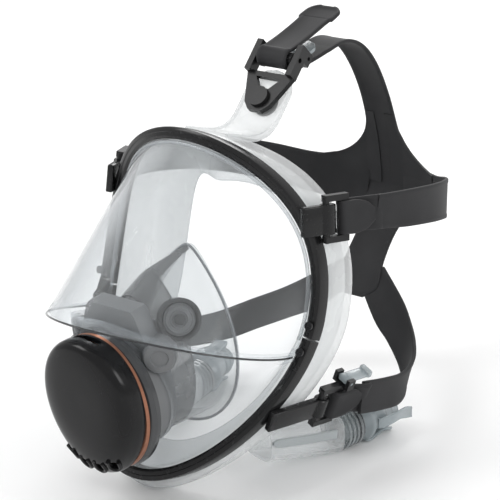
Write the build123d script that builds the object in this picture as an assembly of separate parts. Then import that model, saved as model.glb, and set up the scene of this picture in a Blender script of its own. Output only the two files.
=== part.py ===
from build123d import *
import os
from math import sin, cos, tan, radians, pi

# Full face respirator, millimetres.  +Z is up, the wearer looks along -Y, +X is the wearer's left.
# The mask stands on its two air ducts; the origin is on the floor below the middle of the whole object.

# ---- driving dimensions -------------------------------------------------------------------------
ORIGIN_Y = 62.05           # middle of the whole length, measured from the mask's own datum
ORIGIN_Z = 0.43            # floor level above the same datum
RIM_HALF_WIDTH = 77.0      # clamping frame, centre line
RIM_TOP = 97.0             # centre line above the frame's widest level
RIM_BOTTOM = 92.0          # centre line below it
RIM_MID_Z = 105.0          # height of the widest level
RIM_LEAN = 15.0            # degrees, the frame leans back towards its top
SIDE_SWEEP = 24.7          # the sides lie this much further back than the middle
CROWN_SWEEP = 19.0         # the top and the chin lie further forward
RIM_SPLIT = 1.72           # radians from the top, where the two frame halves meet
LENS_SPLIT = 1.80          # radians from the top, where the lens's ledge runs out at the frame
FRAME_WIDTH = 7.0          # frame section, across
FRAME_DEPTH = 12.0         # frame section, front to back
LENS_THICK = 2.4
LENS_CLEAR = 0.6           # between the lens's edge and the frame's inner face
LEDGE_HALF_WIDTH = 71.5
LEDGE_SIDE = Vector(0, 12.0, 84.0)
LEDGE_FRONT = Vector(0, -91.0, 117.5)
SHELF_MIN, SHELF_MAX = 4.0, 26.5
SHELF_DROP = 7.0
CHIN_FOOT = 6.85           # the seal swells by this much under the chin, where the mask stands on it
PORT_CENTRE = Vector(0, -57.5, 67.0)
PORT_LEAN = 8.0            # degrees, the front port looks down by this much
PORT_HALF_WIDTH, PORT_HALF_HEIGHT = 26.0, 34.0
COVER_HALF_WIDTH, COVER_HALF_HEIGHT = 32.0, 41.5
COVER_BASE, COVER_DEPTH = 11.2, 18.0
COVER_RISE = 7.0           # the dome's highest point lies this far above the port's middle
COVER_WALL = 2.2
STRAP_THICK = 2.2
FIT_GAP = 0.06             # radial gap of a running fit

SIDES = (("left", 1.0), ("right", -1.0))
parts = {}


# ---- helpers ------------------------------------------------------------------------------------
def add(name, shape):
    parts[name] = shape


def mirror_x(shape):
    return shape.mirror(Plane.YZ)


def add_pair(stem, shape):
    """The wearer's left piece as built, and its mirror image on the right."""
    add(stem + "_left", shape)
    add(stem + "_right", mirror_x(shape))


def basis(origin, along, up):
    """A plane at origin: x along the piece, z as near to up as it can be."""
    along = Vector(*along).normalized()
    side = Vector(*up).normalized().cross(along).normalized()
    return Plane(origin=Vector(*origin), x_dir=along, z_dir=along.cross(side))


def box_at(plane, x0, x1, y0, y1, z0, z1):
    """A block between limits measured in a plane's own axes."""
    block = Solid.make_box(x1 - x0, y1 - y0, z1 - z0).moved(Location((x0, y0, z0)))
    return block.moved(plane.location)


def rod(start, end, radius):
    """A round bar between two points."""
    start, end = Vector(*start), Vector(*end)
    axis = end - start
    return Solid.make_cylinder(radius, axis.length, Plane(origin=start, z_dir=axis))


def spread(low, high, count):
    return [low + (high - low) * i / (count - 1) for i in range(count)]


def polygon(points):
    return Wire.make_polygon(points, close=True)


def loft_sections(wires):
    return Solid.make_loft(wires)


def rim_point(t):
    """Centre line of the clamping frame, t in radians from the top, positive to the left."""
    c = cos(t)
    rise = RIM_TOP * c ** 0.85 if c > 0 else -RIM_BOTTOM * (-c) ** 1.08
    y = SIDE_SWEEP * sin(t) ** 2 + tan(radians(RIM_LEAN)) * rise - CROWN_SWEEP * (rise / RIM_TOP) ** 2
    return Vector(RIM_HALF_WIDTH * sin(t), y, RIM_MID_Z + rise)


def rim_axes(t):
    """Centre, outward and forward directions of the frame's section."""
    step = 0.01
    tangent = (rim_point(t + step) - rim_point(t - step)).normalized()
    ahead = Vector(0, -cos(radians(RIM_LEAN)), sin(radians(RIM_LEAN)))
    outward = ahead.cross(tangent).normalized()
    return rim_point(t), outward, tangent.cross(outward).normalized()


def rim_place(t, out, ahead):
    centre, outward, forward = rim_axes(t)
    return centre + outward * out + forward * ahead


def rim_band(first, last, count, outline):
    """Loft a section, given as outline(t), along the frame's centre line."""
    wires = []
    for t in spread(first, last, count):
        wires.append(polygon([rim_place(t, out, ahead) for out, ahead in outline(t)]))
    return loft_sections(wires)


def ribbon(points, up, widths, thick=STRAP_THICK):
    """A flat strap through points; up is the direction of its width."""
    points = [Vector(*p) for p in points]
    wires = []
    for i, p in enumerate(points):
        ahead = (points[min(i + 1, len(points) - 1)] - points[max(i - 1, 0)]).normalized()
        across = Vector(*up[i])
        across = (across - ahead * across.dot(ahead)).normalized() * (widths[i] / 2)
        skin = ahead.cross(across).normalized() * (thick / 2)
        wires.append(polygon([p - across - skin, p + across - skin, p + across + skin, p - across + skin]))
    return loft_sections(wires)


def side_profile(points, thick, width):
    """A strap that bends only front to back: its edge line in (y, z), cut to a width along X."""
    centre = [Vector(0, y, z) for y, z in points]
    outer, inner = [], []
    for i, p in enumerate(centre):
        ahead = (centre[min(i + 1, len(centre) - 1)] - centre[max(i - 1, 0)]).normalized()
        skin = Vector(0, -ahead.Z, ahead.Y) * (thick / 2)
        outer.append(p + skin)
        inner.append(p - skin)
    edges = [Edge.make_spline(outer), Edge.make_line(outer[-1], inner[-1]),
             Edge.make_spline(inner[::-1]), Edge.make_line(inner[0], outer[0])]
    face = Face(Wire(edges)).moved(Location((-width / 2, 0, 0)))
    return Solid.extrude(face, Vector(width, 0, 0))


port_down = Vector(0, -cos(radians(PORT_LEAN)), -sin(radians(PORT_LEAN)))
port_plane = Plane(origin=PORT_CENTRE, x_dir=(1, 0, 0), z_dir=port_down)


def port_place(x, rise, ahead):
    up = Vector(0, -sin(radians(PORT_LEAN)), cos(radians(PORT_LEAN)))
    return PORT_CENTRE + Vector(x, 0, 0) + up * rise + port_down * ahead


def egg_wire(half_width, half_height, ahead, egg=0.0, lift=0.0, count=24):
    """An oval across the port axis; egg widens its top and narrows its foot."""
    points = []
    for i in range(count):
        w = 2 * pi * i / count
        points.append(port_place(half_width * (1 + egg * sin(w)) * cos(w), half_height * sin(w) + lift, ahead))
    return Wire([Edge.make_spline(points, periodic=True)])


def oval_block(half_width, half_height, back, front, egg=0.0):
    return loft_sections([egg_wire(half_width, half_height, back, egg),
                          egg_wire(half_width, half_height, front, egg)])


# ---- lens ---------------------------------------------------------------------------------------
def ledge_point(phi):
    """The crease between the conical and the lower lens, phi from -pi/2 to pi/2 about the front."""
    back = cos(phi)
    y = LEDGE_SIDE.Y + (LEDGE_FRONT.Y - LEDGE_SIDE.Y) * back
    z = LEDGE_SIDE.Z + (LEDGE_FRONT.Z - LEDGE_SIDE.Z) * back ** 1.25
    return Vector(LEDGE_HALF_WIDTH * sin(phi) * abs(sin(phi)) ** 0.2, y, z)


def inward_at(phi):
    return Vector(-sin(phi), cos(phi), 0)


def slab(points, normal, thick=LENS_THICK):
    """Closed outline of a wall: a line of points and the same line moved inwards."""
    inner = [p + normal * thick for p in points]
    if len(points) == 2:
        return polygon([points[0], points[1], inner[1], inner[0]])
    edges = [Edge.make_spline(points), Edge.make_line(points[-1], inner[-1]),
             Edge.make_spline(inner[::-1]), Edge.make_line(inner[0], points[0])]
    return Wire(edges)


def make_lens_upper():
    """The conical part of the lens and the shelf under its ledge."""
    upper, shelf = [], []
    for f in spread(-1, 1, 17):
        phi = f * pi / 2
        edge, inward = ledge_point(phi), inward_at(phi)
        top = rim_place(f * LENS_SPLIT, -FRAME_WIDTH / 2 - LENS_CLEAR, 1.0)
        along = (edge - top).normalized()
        upper.append(slab([top, edge], (inward - along * inward.dot(along)).normalized()))
        phi *= 0.97
        lift = Vector(0, 0, LENS_THICK / 2)
        shelf.append(slab([ledge_point(phi) - inward * 0.5 + lift, shelf_root(phi) + lift], Vector(0, 0, -1)))
    return loft_sections(upper).fuse(loft_sections(shelf))


def shelf_root(phi):
    depth = SHELF_MIN + (SHELF_MAX - SHELF_MIN) * cos(phi) ** 2
    return ledge_point(phi) + inward_at(phi) * depth - Vector(0, 0, SHELF_DROP * cos(phi) ** 2)


def make_lens_lower():
    """The rounded part of the lens below the ledge, with the opening for the front port."""
    lower = []
    for f in spread(-0.95, 0.95, 17):
        phi = f * pi / 2
        inward = inward_at(phi)
        foot = rim_place(pi - (pi - LENS_SPLIT) * f, -FRAME_WIDTH / 2 - LENS_CLEAR, 4.0)
        start = shelf_root(phi) - inward * LENS_THICK - Vector(0, 0, LENS_THICK / 2 + 0.05)
        middle = (start + foot) * 0.5 - inward * (1.0 + 14.0 * f * f * (1 - f * f))
        lower.append(slab([start, middle, foot], inward))
    return loft_sections(lower).cut(oval_block(PORT_HALF_WIDTH + 4.8, PORT_HALF_HEIGHT + 4.8, -30, 20))


# ---- frame --------------------------------------------------------------------------------------
def frame_outline(t):
    w, d, c = FRAME_WIDTH / 2, FRAME_DEPTH / 2, 1.6
    return [(-w, -d), (w - c, -d), (w, -d + c), (w, d - c), (w - c, d), (-w, d)]


TEMPLE = basis((79.0, 41.0, 160.0), (0.36, 0.93, -0.03), (-0.15, -0.12, 0.98))
LOWER = basis((75.0, 40.0, 47.0), (0.19, 0.98, -0.04), (0.30, -0.20, 0.93))
LOOP_HEIGHT = 27.0
LOOP_LENGTH = 14.0
LOOP_BAR = 2.0             # radius of the round bar in the frame's lug


def lug(plane, reach, half):
    """Tongue from the frame that wraps the loop's front bar."""
    tongue = box_at(plane, -LOOP_LENGTH / 2 - reach, -LOOP_LENGTH / 2 - 1.0, -2.2, 2.2, -half, half)
    bar_x = -LOOP_LENGTH / 2
    knuckle = rod((bar_x, 0, -half), (bar_x, 0, half), LOOP_BAR + 2.0).moved(plane.location)
    bore = rod((bar_x, 0, -half - 1), (bar_x, 0, half + 1), LOOP_BAR + FIT_GAP).moved(plane.location)
    return tongue.fuse(knuckle), bore


def make_frame():
    halves = {"frame_upper": rim_band(-RIM_SPLIT + 0.004, RIM_SPLIT - 0.004, 19, frame_outline),
              "frame_lower": rim_band(RIM_SPLIT + 0.004, 2 * pi - RIM_SPLIT - 0.004, 19, frame_outline)}
    for name, plane, reach, half_high in (("frame_upper", TEMPLE, 15.0, 8.5), ("frame_lower", LOWER, 37.0, 6.5)):
        tongue, bore = lug(plane, reach, half_high)
        half = halves[name]
        for piece, hole in ((tongue, bore), (mirror_x(tongue), mirror_x(bore))):
            half = half.fuse(piece).cut(hole)
        halves[name] = half
    for name, half in halves.items():
        add(name, half)


def make_screws():
    screws = []
    for side in (1, -1):
        for t in (RIM_SPLIT - 0.09, RIM_SPLIT + 0.09):
            centre, outward, forward = rim_axes(side * t)
            start = centre + outward * 1.1 + forward * (FRAME_DEPTH / 2 + 0.15)
            head = Solid.make_cylinder(2.4, 1.4, Plane(origin=start, z_dir=forward))
            slot = Solid.make_box(4, 0.8, 1).moved(Location((-2, -0.4, 0.9)))
            screws.append(head.cut(slot.moved(Plane(origin=start, x_dir=outward, z_dir=forward).location)))
    add("frame_screws", Compound(screws))


# ---- face seal ----------------------------------------------------------------------------------
def seal_outline(t):
    """Skirt behind the frame; under the chin it is shallower, and a foot there meets the floor."""
    chin = max(0.0, -cos(t)) ** 1.5
    deep = 36.0 - 14.0 * chin
    out = 3.2 - 1.2 * chin + CHIN_FOOT * chin ** 4
    back = -FRAME_DEPTH / 2 - 0.1
    return [(2.6, back), (out, back - 4), (out, -deep * 0.7), (out - 5, -deep + 1), (-14, -deep - 2),
            (-15, -deep + 0.6), (out - 7, -deep + 4), (out - 3.2, -deep * 0.66), (out - 3.2, back - 4), (-2.6, back)]


TAB = basis((0, 78.3, 206.5), (0, 0.66, 0.75), (0, -0.75, 0.66))
TAB_HALF = 16.0
TAB_LINE = ((24.0, 199.0), (32.0, 196.9), (42.0, 194.2), (52.0, 192.4), (62.0, 193.2), (69.0, 196.7), (72.4, 199.9),
            (75.3, 203.1), (78.3, 206.5), (81.0, 209.5), (83.6, 212.5))


def make_seal():
    left = rim_band(0, pi, 21, seal_outline)
    tab = side_profile(TAB_LINE, 3.0, 2 * TAB_HALF)
    end = Solid.make_cylinder(TAB_HALF, 3.0).moved(Location((6, 0, -1.5))).moved(TAB.location)
    hole = Solid.make_cylinder(3.7, 8.0).moved(Location((0, 0, -4))).moved(TAB.location)
    return left.fuse(mirror_x(left)).fuse(tab.fuse(end)).cut(hole)


# ---- nose cup and inhalation valves -------------------------------------------------------------
def cup_section(centre_y, lean, half_width, low, high, pear, grow=0.0):
    """A closed curve round the nose and mouth, widest low down."""
    points = []
    mid, half = (low + high) / 2, (high - low) / 2 + grow
    for i in range(20):
        w = 2 * pi * i / 20
        rise = half * sin(w)
        x = (half_width + grow) * cos(w) * (1 - pear * sin(w))
        points.append(Vector(x, centre_y - tan(radians(lean)) * (mid + rise - 60), mid + rise))
    return Wire([Edge.make_spline(points, periodic=True)])


def make_nose_cup():
    def shell(grow, front, rear):
        return loft_sections([cup_section(front, 8, 25, 32, 120, 0.05, grow),
                              cup_section(-18, 3, 31, 32, 131, 0.20, grow),
                              cup_section(rear, -4, 35, 34, 137, 0.42, grow)])
    return shell(0.0, -36.9, 2.0).cut(shell(-2.2, -39.5, 5.0))


SEAT_AXIS = Vector(0.76, -0.58, 0.28).normalized()
SEAT_CENTRE = Vector(26.5, -34.5, 110.5)
SEAT_RADIUS = 12.0
DISC_RADIUS = 9.2


def make_inhalation():
    plane = Plane(origin=SEAT_CENTRE, z_dir=SEAT_AXIS)

    def disc(radius, low, high):
        return Solid.make_cylinder(radius, high - low).moved(Location((0, 0, low)))

    seat = disc(SEAT_RADIUS, 0, 3).cut(disc(8.0, -1, 4)).fuse(disc(3.4, 0, 3))
    seat = seat.fuse(disc(SEAT_RADIUS, 0, 6.4).cut(disc(10.2, -1, 8)))
    for turn in (0, 60, 120):
        seat = seat.fuse(Solid.make_box(18, 1.6, 2.4).moved(Location((-9, -0.8, 0))).moved(Rotation(0, 0, turn)))
    seat = seat.fuse(disc(1.9, 0, 6.6)).fuse(disc(3.2, 6.0, 7.0))
    flap = disc(DISC_RADIUS, 3.15, 4.15).cut(disc(2.3, 0, 6))
    add_pair("inhalation_seat", seat.moved(plane.location))
    add_pair("inhalation_valve", flap.moved(plane.location))


# ---- front unit ---------------------------------------------------------------------------------
HOUSING_BACK = -17.0


def make_front_unit():
    shell = oval_block(PORT_HALF_WIDTH + 4, PORT_HALF_HEIGHT + 4, HOUSING_BACK, 2.6)
    block = box_at(port_plane, -21, 21, 20, 57.5, HOUSING_BACK, -6.5)
    block = block.fillet(4.0, block.edges().filter_by(lambda e: e.center().Z > PORT_CENTRE.Z + 45))
    bore = oval_block(PORT_HALF_WIDTH, PORT_HALF_HEIGHT, HOUSING_BACK - 5, 8)
    add("valve_housing", shell.fuse(block).cut(bore))

    ring = loft_sections([egg_wire(35.5, 41.5, 3.0), egg_wire(33.0, 41.8, 9.3)])
    add("port_ring", ring.cut(oval_block(PORT_HALF_WIDTH + 1.5, PORT_HALF_HEIGHT + 1.5, 0, 12)))
    accent = oval_block(COVER_HALF_WIDTH - 0.4, COVER_HALF_HEIGHT, 9.4, 10.6)
    add("accent_ring", accent.cut(oval_block(PORT_HALF_WIDTH + 1.5, PORT_HALF_HEIGHT + 1.5, 0, 12)))

    def plate(radius, low, high):
        return Solid.make_cylinder(radius, high - low).moved(Location((0, 0, low)))

    seat = oval_block(PORT_HALF_WIDTH - 0.02, PORT_HALF_HEIGHT - 0.02, -3, 0)
    openings = plate(15.5, -5, 2).cut(plate(3.5, -6, 3))
    for turn in (0, 60, 120):
        spoke = Solid.make_box(40, 2.4, 9).moved(Location((-20, -1.2, -6)))
        openings = openings.cut(spoke.moved(Rotation(0, 0, turn)))
    seat = seat.cut(openings.moved(port_plane.location))
    pin = plate(1.9, 0, 4.6).fuse(plate(3.0, 4.0, 5.0)).moved(port_plane.location)
    add("exhalation_seat", seat.fuse(pin))
    add("exhalation_valve", plate(18.0, 0.4, 1.4).cut(plate(2.3, -1, 3)).moved(port_plane.location))


def make_cover():
    base, deep = COVER_BASE, COVER_DEPTH
    outer = [(1.0, 0.0), (0.985, 0.38), (0.93, 0.66), (0.80, 0.86), (0.55, 0.97), (0.25, 1.0)]

    def dome(shrink, start, top):
        wires = []
        for scale, s in outer:
            wires.append(egg_wire(COVER_HALF_WIDTH * scale - shrink, COVER_HALF_HEIGHT * scale - shrink,
                                  start + (top - start) * s, egg=0.06, lift=COVER_RISE * s * s))
        return loft_sections(wires)

    cover = dome(0, base, base + deep).cut(dome(COVER_WALL, base - 1, base + deep - COVER_WALL))
    for x in (-13.5, -4.5, 4.5, 13.5):
        cover = cover.cut(box_at(port_plane, x - 2.2, x + 2.2, -50, -28, base + 6, base + 11))
    grip = box_at(port_plane, -9, 9, 36, 50, base + 3, base + 6)
    add("exhalation_cover", cover.cut(grip))


# ---- air ducts and connectors -------------------------------------------------------------------
DUCT = ((42.0, 18.0, 22.0, 26, 22), (46.5, 36.0, 18.4, 25, 22.4), (52.0, 56.0, 15.4, 24, 23),
        (57.0, 72.0, 13.6, 23, 24))
PLUG_START = Vector(57.3, 73.0, 13.4)
PLUG_AXIS = Vector(0.17, 0.98, 0.02)


def duct_sections(grow, ends):
    wires = []
    for i, (x, y, z, w, h) in enumerate(DUCT):
        y += (-ends if i == 0 else ends if i == len(DUCT) - 1 else 0)
        wide, high, c = w / 2 + grow, h / 2 + grow, 5.0
        corners = [(-wide, -high + c), (-wide + c, -high), (wide - c, -high), (wide, -high + c),
                   (wide, high - c), (wide - c, high), (-wide + c, high), (-wide, high - c)]
        wires.append(polygon([Vector(x + a, y - 0.25 * a, z + b) for a, b in corners]))
    return loft_sections(wires)


def make_ducts():
    add_pair("air_arm", duct_sections(0, 0).cut(duct_sections(-2.0, 4)))
    bar = ribbon([(x + w / 2 + 0.8, y - w / 8, z + 3.0) for x, y, z, w, h in DUCT[:3]], [(0, 0, 1)] * 3, [5] * 3, 1.4)
    add_pair("duct_insert", bar)

    plane = Plane(origin=PLUG_START, x_dir=(0.98, -0.17, 0), z_dir=PLUG_AXIS)

    def tube(radius, low, high, bore=0.0):
        body = Solid.make_cylinder(radius, high - low).moved(Location((0, 0, low)))
        if bore:
            body = body.cut(Solid.make_cylinder(bore, high - low + 2).moved(Location((0, 0, low - 1))))
        return body

    collar = tube(11.6, 0, 14, 9.0)
    for i in range(4):
        collar = collar.fuse(tube(13.0, 1.2 + 3.4 * i, 3.0 + 3.4 * i, 9.0))
    add_pair("arm_collar", collar.moved(plane.location))

    plug = tube(8.8, 2, 48, 6.5).fuse(tube(13.2, 21, 24, 6.5)).fuse(tube(10.0, 24, 34, 6.5))
    for low, high in ((36, 38), (42, 44)):
        plug = plug.fuse(tube(9.8, low, high, 6.5))
    hinge_hole = rod((12.8, -3.6, 29), (12.8, 3.6, 29), 1.2)
    ear = Solid.make_box(7.1, 2.0, 6.0)
    for y in (-5.4, 3.4):
        plug = plug.fuse(ear.moved(Location((7.5, y, 26))))
    pin = rod((12.8, -5.0, 29), (12.8, 5.0, 29), 1.1)
    plug = plug.fuse(pin)
    add_pair("connector", plug.moved(plane.location))
    latch = Solid.make_box(2.6, 6.0, 28).moved(Location((11.6, -3.0, 25.5)))
    latch = latch.fuse(Solid.make_box(3.6, 6.0, 3.0).moved(Location((11.2, -3.0, 50.5))))
    latch = latch.fuse(rod((12.8, -3.0, 29), (12.8, 3.0, 29), 2.3))
    latch = latch.cut(rod((12.8, -4, 29), (12.8, 4, 29), 1.1 + FIT_GAP))
    add_pair("connector_latch", latch.moved(plane.location))


# ---- buckles ------------------------------------------------------------------------------------
def make_loop(plane):
    """Rectangular loop: a round front bar for the lug, and three flat bars for the strap."""
    half, end = LOOP_HEIGHT / 2, LOOP_LENGTH / 2
    loop = rod((-end, 0, -half + 1), (-end, 0, half - 1), LOOP_BAR)
    loop = loop.fuse(Solid.make_box(3.6, 4.0, 2 * half).moved(Location((end - 3.6, -2.0, -half))))
    for z in (-half, half - 3.6):
        loop = loop.fuse(Solid.make_box(LOOP_LENGTH + 1.5, 4.4, 3.6).moved(Location((-end - 1.5, -2.2, z))))
    return loop.moved(plane.location)


def fold_strap(plane, length, width):
    """Strap end doubled round the loop's rear bar."""
    bar = LOOP_LENGTH / 2
    front = bar - 3.6 - 0.1 - STRAP_THICK
    y = 2.0 + 0.1
    half = width / 2
    outer = Solid.make_box(length, STRAP_THICK, width).moved(Location((front, y, -half)))
    inner = Solid.make_box(length * 0.8, STRAP_THICK, width).moved(Location((front, -y - STRAP_THICK, -half)))
    bend = Solid.make_box(STRAP_THICK, 2 * (y + STRAP_THICK), width).moved(
        Location((front, -y - STRAP_THICK, -half)))
    root = Solid.make_box(front + length * 0.8 - bar - 0.1, 2 * y, width).moved(Location((bar + 0.1, -y, -half)))
    return outer.fuse(inner).fuse(bend).fuse(root).moved(plane.location)


def make_side_buckles():
    add_pair("temple_loop", make_loop(TEMPLE))
    add_pair("temple_strap_end", fold_strap(TEMPLE, 22.0, 19.0))
    add_pair("lower_loop", make_loop(LOWER).fuse(lower_pivot()).cut(lower_pivot_bore()))
    add_pair("lower_strap_end", fold_strap(LOWER, 24.0, 19.0))
    add_pair("lower_release_tab", make_lower_tab())


TAB_PIVOT = (LOOP_LENGTH / 2 + 1.0, 0.0, LOOP_HEIGHT / 2 + 3.0)


def lower_pivot():
    x, y, z = TAB_PIVOT
    ears = Solid.make_box(5.0, 2.4, 6.6).moved(Location((x - 2.5, -6.4, z - 4.2)))
    ears = ears.fuse(Solid.make_box(5.0, 2.4, 6.6).moved(Location((x - 2.5, 4.0, z - 4.2))))
    floor = Solid.make_box(5.0, 12.8, 1.4).moved(Location((x - 2.5, -6.4, z - 4.3)))
    return ears.fuse(floor).moved(LOWER.location)


def lower_pivot_bore():
    x, y, z = TAB_PIVOT
    return rod((x, -7, z), (x, 7, z), 1.0 + FIT_GAP).moved(LOWER.location)


def make_lower_tab():
    x, y, z = TAB_PIVOT
    tab = rod((x, -6.2, z), (x, 6.2, z), 1.0).fuse(rod((x, -3.6, z), (x, 3.6, z), 2.2))
    tab = tab.fuse(Solid.make_box(18.0, 7.2, 2.0).moved(Location((x, -3.6, z))))
    tab = tab.fuse(Solid.make_box(3.0, 7.2, 3.2).moved(Location((x + 16, -3.6, z))))
    return tab.moved(LOWER.location)


ROLLER_X = 27.0
ROLLER_LIFT = 7.2
ROLLER_RADIUS = 4.0
ROLLER_HALF = 12.5
RELEASE_X = 32.4
RELEASE_LIFT = 0.3
RELEASE_REACH = 22.0


def make_forehead():
    at = TAB.location

    def disc(radius, low, high, x=0.0):
        return Solid.make_cylinder(radius, high - low).moved(Location((x, 0, low)))

    peg = disc(7.5, -3.6, -1.6).fuse(disc(3.6, -3.6, 6.4)).fuse(disc(6.4, 6.3, 8.6))
    add("forehead_peg", peg.moved(at))

    outline = [(-8.5, -4.5), (-8.5, 4.5), (-4.0, 9.0), (17.0, 17.0), (17.0, -17.0), (-4.0, -9.0)]
    body = Solid.extrude(Face(polygon([Vector(x, y, 2.6) for x, y in outline])), Vector(0, 0, 3.5))
    opening = ((6.4, -3.4), (6.4, 3.4), (13.5, 9.0), (13.5, -9.0))
    window = Solid.extrude(Face(polygon([Vector(x, y, 1.0) for x, y in opening])), Vector(0, 0, 8))
    body = body.cut(window).cut(disc(3.6 + FIT_GAP, 0, 8))
    for side in (1, -1):
        inner, outer = side * (ROLLER_HALF + 0.4), side * (ROLLER_HALF + 4.4)
        low, high = min(inner, outer), max(inner, outer)
        body = body.fuse(Solid.make_box(20.5, high - low, 7.4).moved(Location((15.5, low, 2.6))))
        body = body.fuse(Solid.make_box(8.0, high - low, 6.0).moved(Location((28.0, low, -2.6))))
    axle = rod((ROLLER_X, -ROLLER_HALF - 2.4, ROLLER_LIFT), (ROLLER_X, ROLLER_HALF + 2.4, ROLLER_LIFT), 1.5)
    holes = rod((ROLLER_X, -20, ROLLER_LIFT), (ROLLER_X, 20, ROLLER_LIFT), 1.5 + FIT_GAP)
    holes = holes.fuse(rod((RELEASE_X, -20, RELEASE_LIFT), (RELEASE_X, 20, RELEASE_LIFT), 1.2 + FIT_GAP))
    add("forehead_buckle", body.cut(holes).moved(at))

    roller = rod((ROLLER_X, -ROLLER_HALF, ROLLER_LIFT), (ROLLER_X, ROLLER_HALF, ROLLER_LIFT), ROLLER_RADIUS)
    for i in range(12):
        a = 2 * pi * i / 12
        groove_x = ROLLER_X + (ROLLER_RADIUS + 0.3) * cos(a)
        groove_z = ROLLER_LIFT + (ROLLER_RADIUS + 0.3) * sin(a)
        roller = roller.cut(rod((groove_x, -14, groove_z), (groove_x, 14, groove_z), 0.7))
    add("forehead_roller", roller.fuse(axle).moved(at))

    pivot = TAB.from_local_coords(Vector(RELEASE_X, 0, RELEASE_LIFT))
    lever = basis(pivot, (0, 0.978, 0.208), (0, -0.208, 0.978))
    release = rod((0, -ROLLER_HALF - 2.4, 0), (0, ROLLER_HALF + 2.4, 0), 1.2)
    release = release.fuse(rod((0, -ROLLER_HALF, 0), (0, ROLLER_HALF, 0), 2.2))
    release = release.fuse(Solid.make_box(RELEASE_REACH - 12, 24, 2.0).moved(Location((0, -12, -1.0))))
    release = release.fuse(Solid.make_cylinder(12.0, 2.0).moved(Location((RELEASE_REACH - 12, 0, -1.0))))
    release = release.cut(box_at(Plane.XY, -20, -2.3, -20, 20, -5, 5))
    add("forehead_release_tab", release.moved(lever.location))

    centre = TAB.from_local_coords(Vector(ROLLER_X, 0, ROLLER_LIFT))
    r = ROLLER_RADIUS + 0.5 + STRAP_THICK / 2
    line = [(141.0, 247.0), (125.0, 244.2), (108.0, 240.6)]
    for turn in spread(75, 285, 8):
        line.append((centre.Y + r * cos(radians(turn)), centre.Z + r * sin(radians(turn))))
    line += [(102.0, 225.2), (116.0, 227.4), (129.0, 230.6)]
    add("forehead_strap_end", side_profile(line, STRAP_THICK, 2 * ROLLER_HALF - 2))


# ---- head harness -------------------------------------------------------------------------------
SPINE = ((131.2, 231.0), (148.0, 233.0), (166.0, 227.0), (182.0, 212.0), (196.0, 190.0), (206.0, 166.0),
         (212.0, 143.0), (214.0, 121.0), (205.0, 100.0), (190.0, 81.0), (179.0, 62.0))
SPINE_WIDTHS = (22, 22, 22, 22, 22, 24, 32, 60, 44, 27, 32)
TEMPLE_ARM_WIDTHS = (20, 22, 23, 24, 25, 27, 30)
LOWER_ARM_WIDTHS = (20, 20, 20, 20, 20, 20, 21, 22)
LOWER_ARM_UPS = ((0, 0.1, 1), (0, 0.1, 1), (0, 0.2, 1), (0.1, 0.3, 1), (0.25, 0.4, 1), (0.4, 0.5, 0.9),
                 (0.55, 0.5, 0.8), (0.6, 0.5, 0.8))
TEMPLE_ARM = ((89.0, 66.0, 159.2), (94.0, 90.0, 156.5), (93.0, 120.0, 152.0), (84.0, 148.0, 146.0),
              (68.0, 174.0, 138.0), (50.0, 194.0, 130.0), (32.0, 207.0, 124.0))
LOWER_ARM = ((80.0, 68.0, 42.5), (81.5, 90.0, 38.0), (79.0, 112.0, 33.5), (72.0, 132.0, 33.5),
             (60.0, 149.0, 39.0), (45.0, 163.0, 46.0), (30.0, 172.5, 54.0), (17.0, 178.0, 63.0))


def make_harness():
    points = [(0, y, z) for y, z in SPINE]
    add("harness_spine", ribbon(points, [(1, 0, 0)] * len(points), SPINE_WIDTHS))
    add_pair("harness_temple_arm", ribbon(TEMPLE_ARM, [(0, 0, 1)] * len(TEMPLE_ARM), TEMPLE_ARM_WIDTHS))
    add_pair("harness_lower_arm", ribbon(LOWER_ARM, LOWER_ARM_UPS, LOWER_ARM_WIDTHS))


make_frame()
make_screws()
add("visor_lens", make_lens_upper())
add("visor_lens_lower", make_lens_lower())
add("face_seal", make_seal())
add("nose_cup", make_nose_cup())
make_inhalation()
make_front_unit()
make_cover()
make_ducts()
make_side_buckles()
make_forehead()
make_harness()

os.makedirs("parts", exist_ok=True)
for node, shape in parts.items():
    export_step(shape.moved(Location((0, -ORIGIN_Y, -ORIGIN_Z))), f"parts/{node}.step")
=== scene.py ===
"""Full face respirator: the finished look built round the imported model.

Shapes are worked out in millimetres from the mask's own datum and placed in the row frame in metres.
+Z is up, the wearer looks along -Y, +X is the wearer's left.
"""
import logging
from dataclasses import dataclass, field
from enum import Enum
from math import cos, pi, radians, sin, sqrt, tan
from typing import Callable, Iterable, Optional, Sequence, Union

import bmesh
import bpy
import numpy as np
from mathutils import Matrix, Vector


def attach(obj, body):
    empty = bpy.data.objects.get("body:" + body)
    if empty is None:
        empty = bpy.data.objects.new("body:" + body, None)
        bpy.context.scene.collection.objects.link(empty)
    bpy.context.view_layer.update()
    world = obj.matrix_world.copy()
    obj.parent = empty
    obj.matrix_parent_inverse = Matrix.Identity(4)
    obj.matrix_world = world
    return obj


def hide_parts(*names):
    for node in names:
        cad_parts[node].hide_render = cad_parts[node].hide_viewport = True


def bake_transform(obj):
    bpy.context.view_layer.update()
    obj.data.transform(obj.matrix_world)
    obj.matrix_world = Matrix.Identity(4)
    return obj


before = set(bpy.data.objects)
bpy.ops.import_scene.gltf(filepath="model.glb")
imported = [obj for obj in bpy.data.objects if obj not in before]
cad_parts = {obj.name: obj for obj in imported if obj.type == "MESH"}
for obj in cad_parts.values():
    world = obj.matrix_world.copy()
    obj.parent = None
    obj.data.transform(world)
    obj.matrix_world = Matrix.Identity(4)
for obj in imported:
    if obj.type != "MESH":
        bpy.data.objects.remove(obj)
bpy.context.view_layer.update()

LOG = logging.getLogger("respirator")
DATUM = Vector((0.0, 62.05, 0.43))   # the row frame's origin, measured from the mask's datum
MM = 0.001
Row = list[Vector]
Mesh = tuple[list[Vector], list[tuple[int, ...]]]
Colour = tuple[float, float, float]
Widths = tuple[float, ...]
Profile = tuple[tuple[float, float], ...]
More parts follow.
